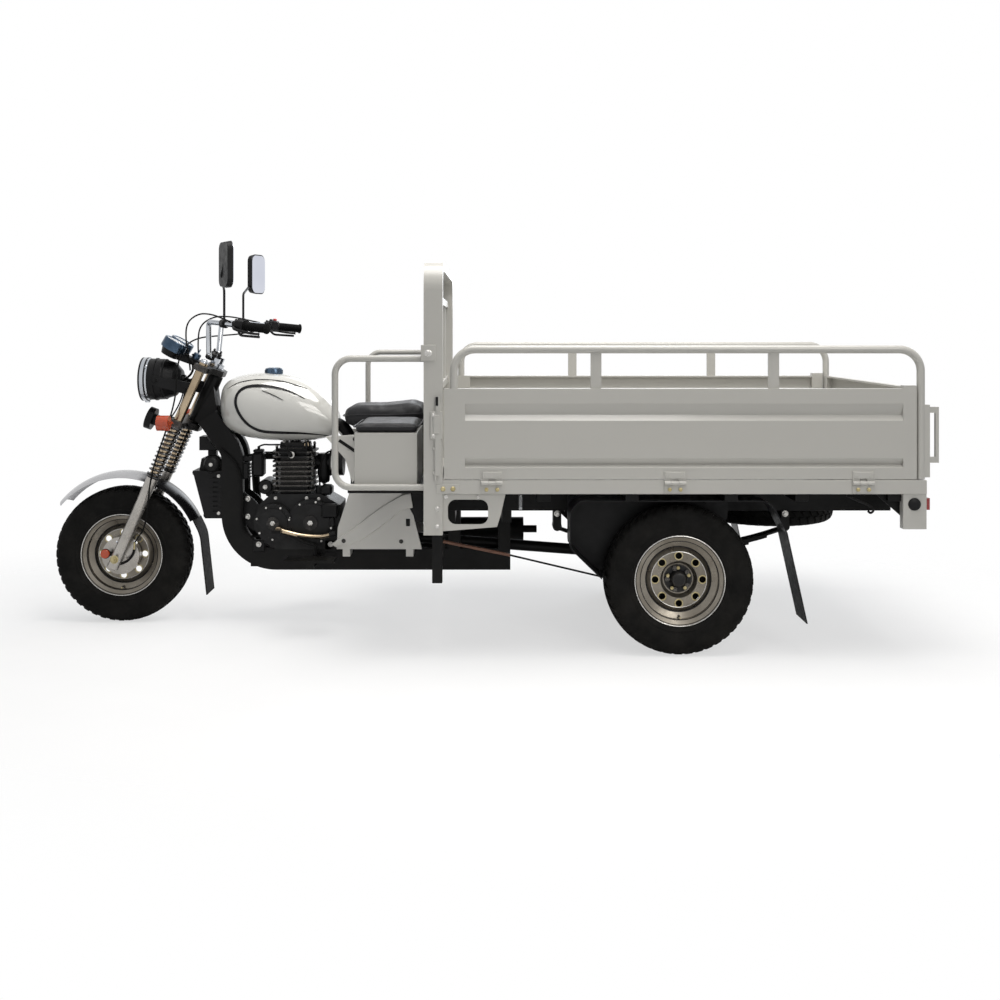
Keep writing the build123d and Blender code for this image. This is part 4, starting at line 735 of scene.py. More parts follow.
def saddle():
    """The driver's saddle: broad at the back, narrower and falling away at its nose."""
    # Columns: x, half width, lowest and highest z
    sections = (
        (0.21, 0.14, 0.834, 0.905), (0.222, 0.152, 0.83, 0.916), (0.26, 0.158, 0.829, 0.921),
        (0.32, 0.158, 0.829, 0.914), (0.38, 0.152, 0.829, 0.909), (0.44, 0.138, 0.829, 0.909),
        (0.5, 0.118, 0.831, 0.909), (0.532, 0.1, 0.836, 0.905), (0.547, 0.082, 0.844, 0.897),
    )
    rings = [pad_ring(*section, 0.024) for section in sections]
    made = cushion("saddle_cushion", rings, 0.0065, 3.5, 0.009, 0.8262, "saddle")
    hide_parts("saddle")
    piping = (
        (0.206, 0.0, 0.886), (0.209, 0.12, 0.886), (0.222, 0.1545, 0.886), (0.3, 0.1615, 0.882),
        (0.39, 0.156, 0.88), (0.45, 0.139, 0.88), (0.505, 0.115, 0.876), (0.54, 0.088, 0.871),
        (0.552, 0.05, 0.87), (0.554, 0.0, 0.87),
    )
    kit = Kit()
    kit.tube(curve_through(piping, 6), 0.0026, 8)
    kit.mirror()
    kit.piece("saddle_piping", "chassis", "seat_cover")


def side_cushions():
    """The pads on the side boxes, each with piping round its top."""
    low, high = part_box("side_cushions")
    inner_y = 0.214
    half = (high.y - inner_y) / 2 - 0.006
    # Columns: distance from the pad's end, narrowing, fall of the top
    ends = ((0.004, 0.016, 0.008), (0.01, 0.006, 0.003), (0.03, 0.001, 0.001))
    sections = [(low.x + step, inset, drop) for step, inset, drop in ends]
    sections.append(((low.x + high.x) / 2, 0.0, 0.0))
    sections += [(high.x - step, inset, drop) for step, inset, drop in ends[::-1]]
    for side, word in ((1, "left"), (-1, "right")):
        middle = side * (inner_y + high.y) / 2
        rings = [
            pad_ring(x, half - inset, low.z + 0.001, high.z - 0.004 - drop, 0.013, middle)
            for x, inset, drop in sections
        ]
        made = cushion(f"side_cushion_{word}_pad", rings, 0.0062, 3.0, 0.006, low.z + 0.0003)
        if side > 0:
            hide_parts("side_cushions")
        kit = Kit()
        outline = rounded(low.x, high.x, inner_y, high.y, 0.022)
        kit.tube([(x, side * y, high.z - 0.012) for x, y in outline], 0.0024, 8, closed=True)
        kit.piece(f"side_cushion_{word}_piping", "chassis", "seat_cover")


saddle()
side_cushions()


# Headlamp: chrome ring, reflector, ribbed glass, bulb and shell bands

lamp = Vector((1.408, 0, 1.021))
glass_radius = 0.0792


def bulge(start, radius):
    """How far back the glass lies at a radius."""
    return start - 0.013 * (radius / glass_radius) ** 2


def headlamp():
    ring, bowl, glass, shell = Kit(), Kit(), Kit(), Kit()
    ring.lathe(
        [
            (0.08, -0.022), (0.0795, -0.004), (0.0815, -0.001), (0.086, 0.0), (0.0905, -0.002),
            (0.0928, -0.008), (0.0928, -0.02), (0.0915, -0.026), (0.0895, -0.0275), (0.0885, -0.034),
            (0.087, -0.034), (0.086, -0.024),
        ],
        lamp, forward, 72,
    )
    ring.slab(lamp + Vector((-0.02, 0, -0.0935)), (0.016, 0.012, 0.01))
    ring.bolt(lamp + Vector((-0.012, 0, -0.0955)), forward, 0.006, 0.004, dome=True)
    for turn in (35, 145):
        out = around(left, up, radians(turn))
        back = Vector((-0.03, 0, 0))
        ring.rod(lamp + out * 0.09 + back, lamp + out * 0.0935 + back, 0.004)
    ring.piece("headlamp_ring", "fork", "chrome")
    bowl.lathe(
        [
            (0.0785, -0.0205), (0.07, -0.034), (0.056, -0.05), (0.036, -0.0615), (0.016, -0.067),
            (0.01, -0.068),
        ],
        lamp, forward, 64, closed=False,
    )
    bowl.lathe(
        [(0.0, -0.04), (0.008, -0.041), (0.011, -0.046), (0.011, -0.066), (0.0, -0.0675)], lamp, forward, 32,
    )
    bowl.piece("headlamp_bowl", "fork", None, reflector)
    radii = [glass_radius * index / 18 for index in range(19)]
    front = [(radius, bulge(-0.0045, radius)) for radius in radii]
    glass.lathe(front + [(radius, level - 0.0028) for radius, level in front[::-1]], lamp, forward, 72)
    for index in range(-9, 10):
        y = index * 0.0078
        reach = sqrt(0.074 ** 2 - y * y)
        line = []
        for k in range(13):
            z = -reach + 2 * reach * k / 12
            line.append(lamp + Vector((bulge(-0.0082, sqrt(y * y + z * z)), y, z)))
        glass.tube(line, 0.0019, 6)
    glass.piece("headlamp_glass", "fork", "lens_clear", replaces=["headlamp_lens"])
    shell.bolt((1.332, 0.0972, 1.018), left, 0.014, 0.007)
    shell.bolt((1.205, 0.0972, 0.982), left, 0.01, 0.005)
    shell.mirror()
    for back_by, radius in ((0.06, 0.0882), (0.098, 0.0835)):
        shell.lathe(
            [(radius, -0.004), (radius + 0.0022, -0.003), (radius + 0.0022, 0.003), (radius, 0.004)],
            lamp - Vector((back_by, 0, 0)), forward, 64,
        )
    shell.lathe(
        [(0.0, -0.004), (0.017, -0.004), (0.019, 0.0), (0.022, 0.014), (0.0, 0.014)],
        lamp - Vector((0.176, 0, 0)), forward, 32,
    )
    shell.piece("headlamp_shell_trim", "fork", "black_plastic")


headlamp()


# Instruments: two dials in bright housings

dial_up = Vector((-0.5, 0, 0.866)).normalized()
dial_front = left.cross(dial_up)


def dial_place(across, ahead, high):
    """A point on the dials' tilted plane."""
    return Vector((1.262, 0, 1.168)) + left * across + dial_front * ahead + dial_up * high


def instruments():
    bright, dark, white, red, glass = Kit(), Kit(), Kit(), Kit(), Kit()
    first_mark, mark_step, mark_count = 215, -12.5, 21
    for across, needle in ((0.052, 200), (-0.052, 170)):
        middle = dial_place(across, 0, 0.012)
        bright.lathe(
            [
                (0.05, -0.036), (0.0515, -0.03), (0.0515, 0.003), (0.05, 0.0068), (0.0465, 0.0078),
                (0.0432, 0.0062), (0.0425, 0.001), (0.0485, 0.0005), (0.0485, -0.036),
            ],
            middle, dial_up, 56,
        )
        dark.lathe([(0.0, 0.0004), (0.043, 0.0004), (0.043, 0.0014), (0.0, 0.0014)], middle, dial_up)
        for k in range(mark_count):
            out = around(-left, dial_front, radians(first_mark + mark_step * k))
            length, width = (0.0035, 0.0011) if k % 5 else (0.0065, 0.0018)
            spot = middle + out * (0.0395 - length / 2) + dial_up * 0.0017
            white.slab(spot, (length, width, 0.0005), 0.0001, basis_of(out, dial_up.cross(out), dial_up))
        out = around(-left, dial_front, radians(needle))
        red.tube([middle + out * reach + dial_up * 0.0034 for reach in (-0.008, 0.034)], [0.0014, 0.0005], 6)
        white.lathe([(0.0, 0.002), (0.0055, 0.002), (0.005, 0.005), (0.0, 0.0054)], middle, dial_up, 20)
        glass.lathe(
            [(0.0, 0.007), (0.03, 0.0062), (0.0434, 0.0044), (0.0434, 0.0034), (0.03, 0.0052), (0.0, 0.006)],
            middle, dial_up,
        )
    for index in range(4):
        bright.lathe(
            [(0.0, -0.006), (0.0058, -0.006), (0.0058, 0.001), (0.004, 0.0024), (0.0, 0.0024)],
            dial_place(0, -0.022 + 0.0145 * index, 0.0045), dial_up, 20,
        )
    lock = Vector((1.18, 0, 1.122))
    bright.lathe(
        [(0.0, -0.02), (0.0165, -0.02), (0.0165, 0.004), (0.014, 0.008), (0.0, 0.008)], lock, dial_up, 32,
    )
    bright.slab(lock + dial_up * 0.018, (0.004, 0.014, 0.022), turn=basis_of(dial_front, left, dial_up))
    bright.piece("dial_housings", "fork", "cap_blue")
    dark.piece("dial_faces", "fork", "black_plastic")
    white.piece("dial_marks", "fork", None, dial_white)
    red.piece("dial_needles", "fork", None, button_red)
    glass.piece("dial_glass", "fork", "lens_clear")


instruments()


# Handlebar: grips, switch housings, levers, bar clamps

bar_bend = Vector((0.95, 0.318, 1.25))
bar_along = (Vector((0.818, 0.392, 1.236)) - bar_bend).normalized()


def handlebar_trim():
    grips, housings, metal, red = Kit(), Kit(), Kit(), Kit()
    profile = [(0.0172, 0.06)]
    for k in range(22):
        at = 0.062 + k * 0.0043
        profile += [(0.0172, at), (0.0184, at + 0.0009), (0.0184, at + 0.0025), (0.0172, at + 0.0034)]
    profile += [(0.0178, 0.159), (0.0215, 0.16), (0.0215, 0.1645), (0.016, 0.167), (0.0, 0.167)]
    grips.lathe(profile, bar_bend, bar_along, 28)
    grips.lathe([(0.0172, 0.054), (0.0225, 0.055), (0.0225, 0.059), (0.0172, 0.061)], bar_bend, bar_along, 28)
    basis = basis_of(bar_along, up.cross(bar_along).normalized(), up)
    middle = bar_bend + bar_along * 0.036
    housings.slab(middle + up * 0.001, (0.04, 0.052, 0.05), 0.008, basis)
    housings.slab(middle + up * 0.001, (0.0425, 0.04, 0.038), 0.006, basis)
    for shift, width in ((-0.01, 0.012), (0.008, 0.01)):
        housings.slab(middle + bar_along * shift + up * 0.0275, (width, 0.014, 0.007), 0.002, basis)
    perch = bar_bend + bar_along * 0.006
    metal.slab(perch, (0.026, 0.036, 0.034), 0.006, basis)
    metal.bolt(perch + up * 0.017, up, 0.01, 0.005)
    lever = [perch + basis @ Vector(point) for point in (
        (0.006, -0.02, -0.006), (0.03, -0.046, -0.012), (0.07, -0.052, -0.018), (0.115, -0.046, -0.022),
        (0.15, -0.04, -0.022),
    )]
    line = curve_through(lever, 5)
    metal.tube(line, [0.0062 - 0.0018 * i / len(line) for i in range(len(line) - 1)] + [0.007], 10)
    metal.bolt(lever[0] + up * 0.006, up, 0.009, 0.004)
    clamp = Vector((1.11, 0.04, 1.12))
    metal.slab(clamp, (0.044, 0.03, 0.036), 0.006, basis_of(fork_forward, left, fork_up))
    for shift in (-0.015, 0.015):
        metal.bolt(clamp + fork_forward * shift + fork_up * 0.018, fork_up, 0.008, 0.006)
    for kit in (grips, housings, metal):
        kit.mirror()
    red.lathe(
        [(0.0, -0.004), (0.0085, -0.004), (0.0085, 0.004), (0.0065, 0.0065), (0.0, 0.0065)],
        mirrored(bar_bend + bar_along * 0.044) + up * 0.0285, up, 24,
    )
    red.piece("stop_button", "fork", None, button_red)
    grips.piece("grips", "fork", "black_rubber")
    housings.piece("switch_housings", "fork", "black_plastic")
    metal.piece("lever_perches", "fork", "black_plastic")


handlebar_trim()


# Control cables, from the bar to behind the headlamp and down the fork leg

def cable(name, body, diameter, points):
    """A free cord: a smooth NURBS line with the route's points as its control points."""
    curve = bpy.data.curves.new(name, "CURVE")
    curve.dimensions = "3D"
    spline = curve.splines.new("NURBS")
    spline.points.add(len(points) - 1)
    for target, point in zip(spline.points, points):
        target.co = (*point, 1.0)
    spline.order_u = 3
    spline.use_endpoint_u = True
    spline.resolution_u = 12
    curve.bevel_depth = diameter / 2
    curve.bevel_resolution = 3
    curve.use_fill_caps = True
    curve.materials.append(paint["black_rubber"])
    made = add_object(name, curve)
    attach(made, body)


cable("cable_left_clutch", "fork", 0.0065, [
    (0.972, 0.3, 1.262), (1.02, 0.262, 1.28), (1.085, 0.17, 1.296), (1.15, 0.105, 1.298),
    (1.205, 0.078, 1.262), (1.212, 0.068, 1.19), (1.2, 0.06, 1.12), (1.196, 0.055, 1.06),
])
cable("cable_right_throttle", "fork", 0.0065, [
    (0.972, -0.3, 1.262), (1.026, -0.262, 1.276), (1.085, -0.18, 1.29), (1.14, -0.118, 1.288),
    (1.19, -0.084, 1.25), (1.196, -0.074, 1.18), (1.19, -0.064, 1.11), (1.19, -0.058, 1.056),
])
cable("cable_front_brake", "fork", 0.0065, [
    (0.966, -0.306, 1.23), (1.04, -0.25, 1.212), (1.12, -0.16, 1.205), (1.196, -0.04, 1.196),
    (1.232, 0.06, 1.15), (1.236, 0.118, 1.06), (1.232, 0.142, 0.96), (1.262, 0.15, 0.84),
    (1.326, 0.152, 0.66), (1.342, 0.151, 0.56), (1.35, 0.142, 0.47), (1.37, 0.128, 0.405),
    (1.396, 0.117, 0.368), (1.412, 0.113, 0.346),
])


# Wheels: black rings as painted shade in the rim's grooves, bright steel rings as painted highlights on its
# edges, vent rims, nuts, valves and black hub covers

def wheel_trim(word, body, centre, driven):
    """Everything sits on the dished face, which looks to the left on all wheels but the right rear one."""
    centre = Vector(centre)
    out = left * (-1 if word == "rear_right" else 1)
    groove_shade, bright, brass, dark = Kit(), Kit(), Kit(), Kit()
    # Painted light: the black rings are painted shade in the rim's grooves; the bright steel rings are painted
    # highlights on the flange and the inner step.
    # Columns: kit, radius, level, thickness
    for kit, radius, level, thick in (
        (groove_shade, 0.1655, 0.0522, 0.0011), (groove_shade, 0.149, 0.0452, 0.0016), (groove_shade, 0.125, 0.014, 0.0034),
        (bright, 0.17, 0.0562, 0.0022), (bright, 0.1055, 0.0262, 0.0016),
    ):
        turns = [pi * k / 4 for k in range(8)]
        bead = [(radius + thick * cos(turn), level + thick * sin(turn)) for turn in turns]
        kit.lathe(bead, centre, out, 80)
    for k in range(8):
        spot = centre + around(forward, up, 2 * pi * k / 8) * 0.09 + out * 0.026
        brass.lathe([(0.0128, 0.0), (0.0128, 0.0012), (0.0162, 0.0012), (0.0172, 0.0)], spot, out, 20)
    if driven:
        dark.lathe(
            [
                (0.0, 0.0372), (0.018, 0.0368), (0.0245, 0.034), (0.03, 0.024), (0.0315, 0.01),
                (0.034, 0.0066), (0.052, 0.0062), (0.0545, 0.0042), (0.03, 0.0042), (0.0, 0.0352),
            ],
            centre, out,
        )
        for k in range(5):
            spot = centre + around(forward, up, 2 * pi * k / 5 + 0.3) * 0.042
            brass.bolt(spot + out * 0.014, out, 0.013, 0.005, washer=False)
    valve = centre + Vector((0, 0, -0.1385)) + out * 0.02
    dark.tube([valve, valve + out * 0.016 + up * 0.001, valve + out * 0.03], [0.0042, 0.0036, 0.0036], 10)
    brass.rod(valve + out * 0.03, valve + out * 0.035, 0.003)
    groove_shade.piece(f"{word}_rim_groove_shade", body, None, stripe_black)
    bright.piece(f"{word}_rim_highlight_beads", body, "wheel_silver", steel)
    brass.piece(f"{word}_wheel_nuts", body, None, zinc)
    dark.piece(f"{word}_hub_cover", body, "engine_black")


wheel_trim("front", "front_wheel", front_axle, False)
wheel_trim("rear_left", "rear_left_wheel", (rear_axle_x, wheel_y, tyre_radius), True)
wheel_trim("rear_right", "rear_right_wheel", (rear_axle_x, -wheel_y, tyre_radius), True)


# Front fork: axle nuts, brake arm, reflector, caps, pinch bolts

def fork_trim():
    brass, metal, dark, orange = Kit(), Kit(), Kit(), Kit()
    brass.bolt(front_axle + left * 0.1535, left, 0.022, 0.01)
    foot = fork_point(0.03, leg_y, 0.004)
    disc = foot + Vector((0.024, -0.004, 0))
    orange.lathe([(0.0, 0.01), (0.017, 0.01), (0.0185, 0.008), (0.0185, 0.001), (0.0, 0.001)], disc, left, 28)
    dark.slab(foot + Vector((0.008, -0.006, 0)), (0.05, 0.006, 0.018), 0.001)
    dark.lathe([(0.0, -0.003), (0.0205, -0.003), (0.0205, 0.002), (0.0, 0.002)], disc, left, 28)
    metal.lathe(
        [
            (0.0, 0.024), (0.012, 0.024), (0.015, 0.021), (0.0175, 0.014), (0.0185, 0.004), (0.0185, 0.0),
            (0.0, 0.0),
        ],
        fork_point(0, leg_y, 0.875), fork_up, 24,
    )
    for height in (0.608, 0.616, 0.858, 0.866):
        dark.bolt(fork_point(-0.03, leg_y, height), -fork_forward, 0.009, 0.005)
    for level in (0.37, 0.364):
        dark.lathe(
            [(0.019, 0.0), (0.025, 0.0), (0.0258, 0.003), (0.025, 0.006), (0.019, 0.006)],
            fork_point(0, leg_y, level), fork_up, 32,
        )
    metal.bolt(fork_point(0.0245, leg_y, 0.06), fork_forward, 0.008, 0.004)
    for kit in (brass, metal, dark, orange):
        kit.mirror()
    metal.lathe(
        [
            (0.0, 0.02), (0.015, 0.02), (0.018, 0.016), (0.018, 0.003), (0.024, 0.002), (0.024, 0.0),
            (0.0, 0.0),
        ],
        fork_point(-0.045, 0, 0.875), fork_up, 6,
    )
    arm = (
        (1.5, 0.108, 0.25), (1.47, 0.11, 0.258), (1.44, 0.112, 0.272), (1.42, 0.113, 0.296),
        (1.414, 0.113, 0.318),
    )
    dark.tube(curve_through(arm, 5), 0.0055, 8)
    dark.lathe(
        [(0.0, 0.012), (0.013, 0.012), (0.014, 0.01), (0.014, -0.012), (0.0, -0.012)],
        (1.5, 0.098, 0.25), left, 20,
    )
    brass.bolt((1.5, 0.11, 0.25), left, 0.012, 0.006)
    brass.rod((1.414, 0.113, 0.314), (1.412, 0.113, 0.348), 0.0042)
    brass.piece("fork_nuts", "fork", None, zinc)
    metal.piece("fork_caps", "fork", "chrome")
    dark.piece("fork_brake_arm", "fork", "chassis_paint")
    orange.piece("fork_reflectors", "fork", "lens_orange")


fork_trim()


# Engine: bolts, spark plug, carburettor bowl, petcock, coil and the curved gear lever

def engine_trim():
    bright, dark, white, brass = Kit(), Kit(), Kit(), Kit()
    # Columns: x, radius and level of a cover's ring of bolts, their number
    for x, radius, level, count in ((0.68, 0.088, 0.119, 8), (0.835, 0.069, 0.125, 7)):
        for k in range(count):
            turn = 2 * pi * k / count + 0.25
            spot = (x + radius * cos(turn), level, engine_z + radius * sin(turn))
            bright.bolt(spot, left, 0.0085, 0.0045, washer=False, dome=k % 2 == 0)
    bright.bolt((0.835, 0.135, engine_z), left, 0.018, 0.004, washer=False)
    bright.bolt((0.68, 0.131, engine_z), left, 0.02, 0.004, washer=False)
    for x in (0.715, 0.805):
        bright.bolt((x, 0.038, 0.7555), up, 0.01, 0.007)
    for x, z in ((0.65, 0.525), (0.7, 0.5285), (0.83, 0.5285)):
        bright.bolt((x, 0.0945, z), left, 0.009, 0.004)
    bright.bolt((0.66, 0.026, 0.612), up, 0.006, 0.004, washer=False)
    bright.bolt((0.676, 0.0286, 0.668), forward, 0.01, 0.005)
    for x in (0.6, 0.9):
        dark.slab((x, 0.088, 0.33), (0.05, 0.014, 0.05), 0.003)
        bright.bolt((x, 0.095, 0.336), left, 0.014, 0.008)
    bright.mirror()
    dark.mirror()
    plug = Vector((0.76, 0.121, 0.712))
    bright.bolt(plug, left, 0.017, 0.008)
    white.lathe([(0.0, 0.01), (0.0065, 0.01), (0.0055, 0.026), (0.0, 0.026)], plug, left, 16)
    cap = [plug + Vector(shift) for shift in ((0, 0.016, 0), (0, 0.0255, 0.002), (0.003, 0.027, 0.013))]
    dark.tube(curve_through(cap, 4), 0.0095)
    dark.lathe(
        [
            (0.0, -0.03), (0.008, -0.03), (0.02, -0.026), (0.024, -0.018), (0.0245, 0.0), (0.0285, 0.001),
            (0.0285, 0.004), (0.0, 0.004),
        ],
        (0.64, 0, 0.61), up, 32,
    )
    bright.bolt((0.64, 0, 0.58), -up, 0.012, 0.006)
    dark.lathe([(0.0235, 0.0), (0.03, 0.0), (0.03, 0.01), (0.0235, 0.01)], (0.668, 0, 0.668), forward, 32)
    bright.lathe([(0.056, -0.003), (0.058, -0.003), (0.058, 0.004), (0.056, 0.004)], (0.6, 0, 0.668), forward)
    dark.slab((0.7, 0.085, 0.752), (0.03, 0.022, 0.024), 0.004)
    dark.slab((0.7, 0.1, 0.748), (0.01, 0.012, 0.03), 0.003)
    dark.rod((0.69, 0.08, 0.746), (0.684, 0.078, 0.738), 0.0045)
    brass.bolt((0.7, 0.0955, 0.752), left, 0.012, 0.003)
    dark.slab((0.958, 0.062, 0.64), (0.026, 0.036, 0.07), 0.005)
    for k in range(5):
        dark.slab((0.9425, 0.062, 0.614 + 0.013 * k), (0.009, 0.034, 0.005), 0.001)
    lever = (
        (0.806, 0.158, 0.407), (0.77, 0.163, 0.398), (0.73, 0.165, 0.388), (0.68, 0.165, 0.381),
        (0.63, 0.164, 0.38), (0.592, 0.162, 0.388),
    )
    brass.tube(curve_through(lever, 5), 0.0085, 10)
    brass.lathe(
        [(0.0, 0.016), (0.013, 0.016), (0.014, 0.014), (0.014, -0.012), (0.0, -0.012)],
        (0.806, 0.15, 0.407), left, 20,
    )
    dark.rod((0.596, 0.162, 0.3875), (0.57, 0.162, 0.393), 0.012, 12)
    bright.piece("engine_bolts", "chassis", "chrome", steel)
    dark.piece("engine_small_parts", "chassis", "black_plastic")
    white.piece("spark_plug_insulator", "chassis", None, dial_white)
    brass.piece("gear_lever", "chassis", "fork_bronze")


engine_trim()


# Radiator: upright fins, slats on its sides, filler cap, and the round horn above it

def radiator_trim():
    dark, metal = Kit(), Kit()
    lean = Vector((0.052, 0, 0.2)).normalized()
    out = Vector((lean.z, 0, -lean.x))
    basis = basis_of(out, left, lean)
    middle = Vector((1.156, 0, 0.54))
    horn = (1.1, 0.0505, 0.668)
    for z in (0.462, 0.618):
        metal.bolt((1.072, 0.07458, z), left, 0.009, 0.004)
    for k in range(9):
        dark.slab((1.088, 0.0745, 0.466 + 0.02 * k), (0.05, 0.0022, 0.006), 0.001)
    metal.mirror()
    dark.mirror()
    for k in range(23):
        y = -0.062 + 0.124 * k / 22
        dark.slab(middle + left * y - out * 0.0012, (0.005, 0.0013, 0.176), 0.0003, basis)
    for level in (-0.092, 0.092):
        dark.slab(middle + lean * level - out * 0.001, (0.01, 0.14, 0.014), 0.002, basis)
    metal.lathe(
        [(0.0, 0.01), (0.018, 0.01), (0.02, 0.008), (0.02, 0.0), (0.0, 0.0)], (1.1, 0.028, 0.6895), up, 24,
    )
    dark.lathe(
        [
            (0.0, 0.046), (0.014, 0.046), (0.026, 0.041), (0.034, 0.03), (0.036, 0.014), (0.036, 0.004),
            (0.03, 0.0), (0.0, 0.0),
        ],
        horn, left, 40,
    )
    dark.lathe([(0.036, 0.006), (0.04, 0.008), (0.04, 0.012), (0.036, 0.014)], horn, left, 40)
    metal.bolt((1.1, 0.0965, 0.668), left, 0.01, 0.004)
    dark.piece("radiator_fins", "chassis", "black_plastic")
    metal.piece("radiator_bolts", "chassis", "chrome", steel)


radiator_trim()


# Load bed hardware on both sides: hinge bolts and leaves, brackets, latches, guard clamps, plugs, lights

def body_trim():
    painted, brass, black, clear, bolts, buffers = Kit(), Kit(), Kit(), Kit(), Kit(), Kit()
    for x in hinge_xs:
        for shift in (-0.02, 0.02):
            brass.bolt((x + shift, 0.6325, 0.638), left, 0.014, 0.003, washer=False)
    for x in (0.1105, 0.0735):
        brass.bolt((x, 0.6255, 0.64), left, 0.017, 0.006)
    # Columns: place, size, chamfer
    for place, size, chamfer in (
        ((0.092, 0.626, 0.64), (0.088, 0.004, 0.034), 0.0012),
        ((0.166, 0.6265, 1.145), (0.054, 0.005, 0.06), 0.0012),
        ((0.135, 0.629, 0.876), (0.046, 0.01, 0.104), 0.002),
        ((0.135, 0.635, 0.88), (0.022, 0.006, 0.07), 0.002),
        ((0.1385, 0.6285, 0.7), (0.022, 0.008, 0.012), 0.0015),
        ((0.1385, 0.6285, 0.79), (0.022, 0.008, 0.012), 0.0015),
    ):
        painted.slab(place, size, chamfer)
    painted.rod((0.1385, 0.63, 0.824), (0.1385, 0.63, 0.672), 0.0042)
    black.slab((0.1325, 0.6335, 0.966), (0.011, 0.012, 0.036), 0.003)
    black.slab((-0.178, 0.602, 0.594), (0.018, 0.006, 0.05), 0.002)
    black.lathe(
        [(0.0, 0.009), (0.017, 0.009), (0.022, 0.006), (0.024, 0.0), (0.0, 0.0)],
        (-1.643, 0.6205, 0.582), left, 28,
    )
    clear.slab((-0.178, 0.606, 0.588), (0.012, 0.006, 0.056), 0.002)
    bolts.bolt((0.166, 0.629, 1.145), left, 0.017, 0.006)
    for z in (0.915, 0.838):
        bolts.bolt((0.146, 0.634, z), left, 0.009, 0.003)
    for z in (0.5, 0.565):
        bolts.bolt((0.132, 0.6255, z), left, 0.012, 0.005, dome=True)
    for x in (0.1, -0.02):
        bolts.bolt((x, 0.6135, 0.608), left, 0.01, 0.004)
    buffers.rod((-1.7, 0.56, 0.7), (-1.706, 0.56, 0.7), 0.012, 20, 0.001)
    for kit in (painted, brass, black, clear, bolts, buffers):
        kit.mirror()
    painted.piece("body_brackets", "chassis", "body_paint")
    brass.piece("body_brass_bolts", "chassis", None, zinc)
    bolts.piece("body_bolts", "chassis", "chrome", steel)
    black.piece("body_black_parts", "chassis", "black_plastic")
    clear.piece("side_light_strips", "chassis", "lens_clear")
    buffers.piece("gate_buffers", "rear_gate", "black_plastic")
    for side, word in ((1, "left"), (-1, "right")):
        leaves = Kit()
        for x in hinge_xs:
            leaves.slab((x, side * 0.6285, 0.6905), (0.072, 0.008, 0.026), 0.002)
            for shift in (-0.024, 0.024):
                spot = (x + shift, side * 0.632, 0.69)
                leaves.bolt(spot, left * side, 0.008, 0.001, washer=False, dome=True)
        leaves.piece(f"hinge_leaves_{word}", f"{word}_drop_side", "body_paint")


body_trim()


# Side covers: a raised curved band over each, dark catches, the black fill behind and fixing bolts

def cover_trim():
    band, dark, bolts = Kit(), Kit(), Kit()
    top = ((0.585, 0.352), (0.52, 0.402), (0.44, 0.462), (0.37, 0.512), (0.3, 0.552), (0.262, 0.562))
    low = ((0.56, 0.336), (0.48, 0.36), (0.41, 0.402), (0.35, 0.448), (0.3, 0.486), (0.252, 0.5))
    upper, lower = (curve_through([(x, 0, z) for x, z in line], 5) for line in (top, low))
    rings = []
    for a, b in zip(upper, lower):
        middle = (a + b) / 2
        shoulders = (a + (middle - a) * 0.12, b + (middle - b) * 0.12)
        section = ((a, 0.1715), (shoulders[0], 0.1795), (middle, 0.1825), (shoulders[1], 0.1795), (b, 0.1715))
        rings.append([(p.x, y, p.z) for p, y in section])
    band.rings(rings)
    for place in ((0.535, 0.1815, 0.366), (0.49, 0.172, 0.782), (0.3, 0.172, 0.362)):
        bolts.bolt(place, left, 0.011, 0.003, dome=True)
    dark.slab((0.272, 0.1735, 0.44), (0.016, 0.003, 0.03), 0.001)
    dark.slab((0.225, 0.165, 0.521), (0.09, 0.006, 0.16), 0.002)
    slope = Matrix.Rotation(radians(-34), 3, "Y")
    dark.slab((0.512, 0.1724, 0.748), (0.104, 0.0016, 0.013), 0.0004, slope)
    for kit in (band, dark, bolts):
        kit.mirror()
    band.piece("side_cover_bands", "chassis", "plastic_white")
    bolts.piece("side_cover_bolts", "chassis", "engine_black")
    dark.piece("side_cover_catches", "chassis", "black_plastic")


cover_trim()


# Under the bed: brake shaft and rods, spring clips, spare wheel carrier, hook

def under_trim():
    rods, brown, bolts = Kit(), Kit(), Kit()
    for x in (rear_axle_x - 0.04, rear_axle_x + 0.04):
        for y in (0.295, 0.355):
            bolts.bolt((x, y, 0.238), -up, 0.014, 0.008)
            rods.rod((x, y, 0.24), (x, y, 0.392), 0.0055, 8)
    for x in (-1.23, -0.33):
        bolts.bolt((x, 0.3535, 0.505), left, 0.016, 0.008)
    hook = (
        (-1.402, 0.585, 0.61), (-1.44, 0.588, 0.592), (-1.48, 0.59, 0.575), (-1.5, 0.59, 0.556),
        (-1.49, 0.59, 0.545), (-1.48, 0.59, 0.552),
    )
    rods.tube(curve_through(hook, 4), 0.0045, 8)
    rods.mirror()
    bolts.mirror()
    rods.rod((0.128, 0.06, 0.335), (0.128, 0.306, 0.335), 0.008, 14, 0.001)
    rods.slab((0.128, 0.066, 0.322), (0.04, 0.01, 0.036))
    rods.slab((0.124, 0.302, 0.36), (0.014, 0.006, 0.066))
    rods.tube([(-0.14, 0.312, 0.334), (-0.504, 0.332, 0.252), (-0.668, 0.35, 0.216)], 0.0038, 8)
    rods.slab((-0.672, 0.352, 0.24), (0.016, 0.006, 0.064))
    rods.rod((-1.229, 0, 0.446), (-1.229, 0, 0.575), 0.01, 14)
    rods.slab((-1.229, 0, 0.4465), (0.24, 0.05, 0.006))
    brown.rod((0.122, 0.308, 0.387), (-0.144, 0.312, 0.333), 0.0065)
    bolts.bolt((-1.229, 0, 0.445), -up, 0.026, 0.012)
    rods.piece("under_rods", "chassis", "chassis_paint")
    brown.piece("brake_rod_sleeve", "chassis", None, stripe_brown)
    bolts.piece("under_bolts", "chassis", "chrome", steel)


under_trim()


# Rounded edges on the sheet-metal and cast CAD pieces, so that their rims catch the light

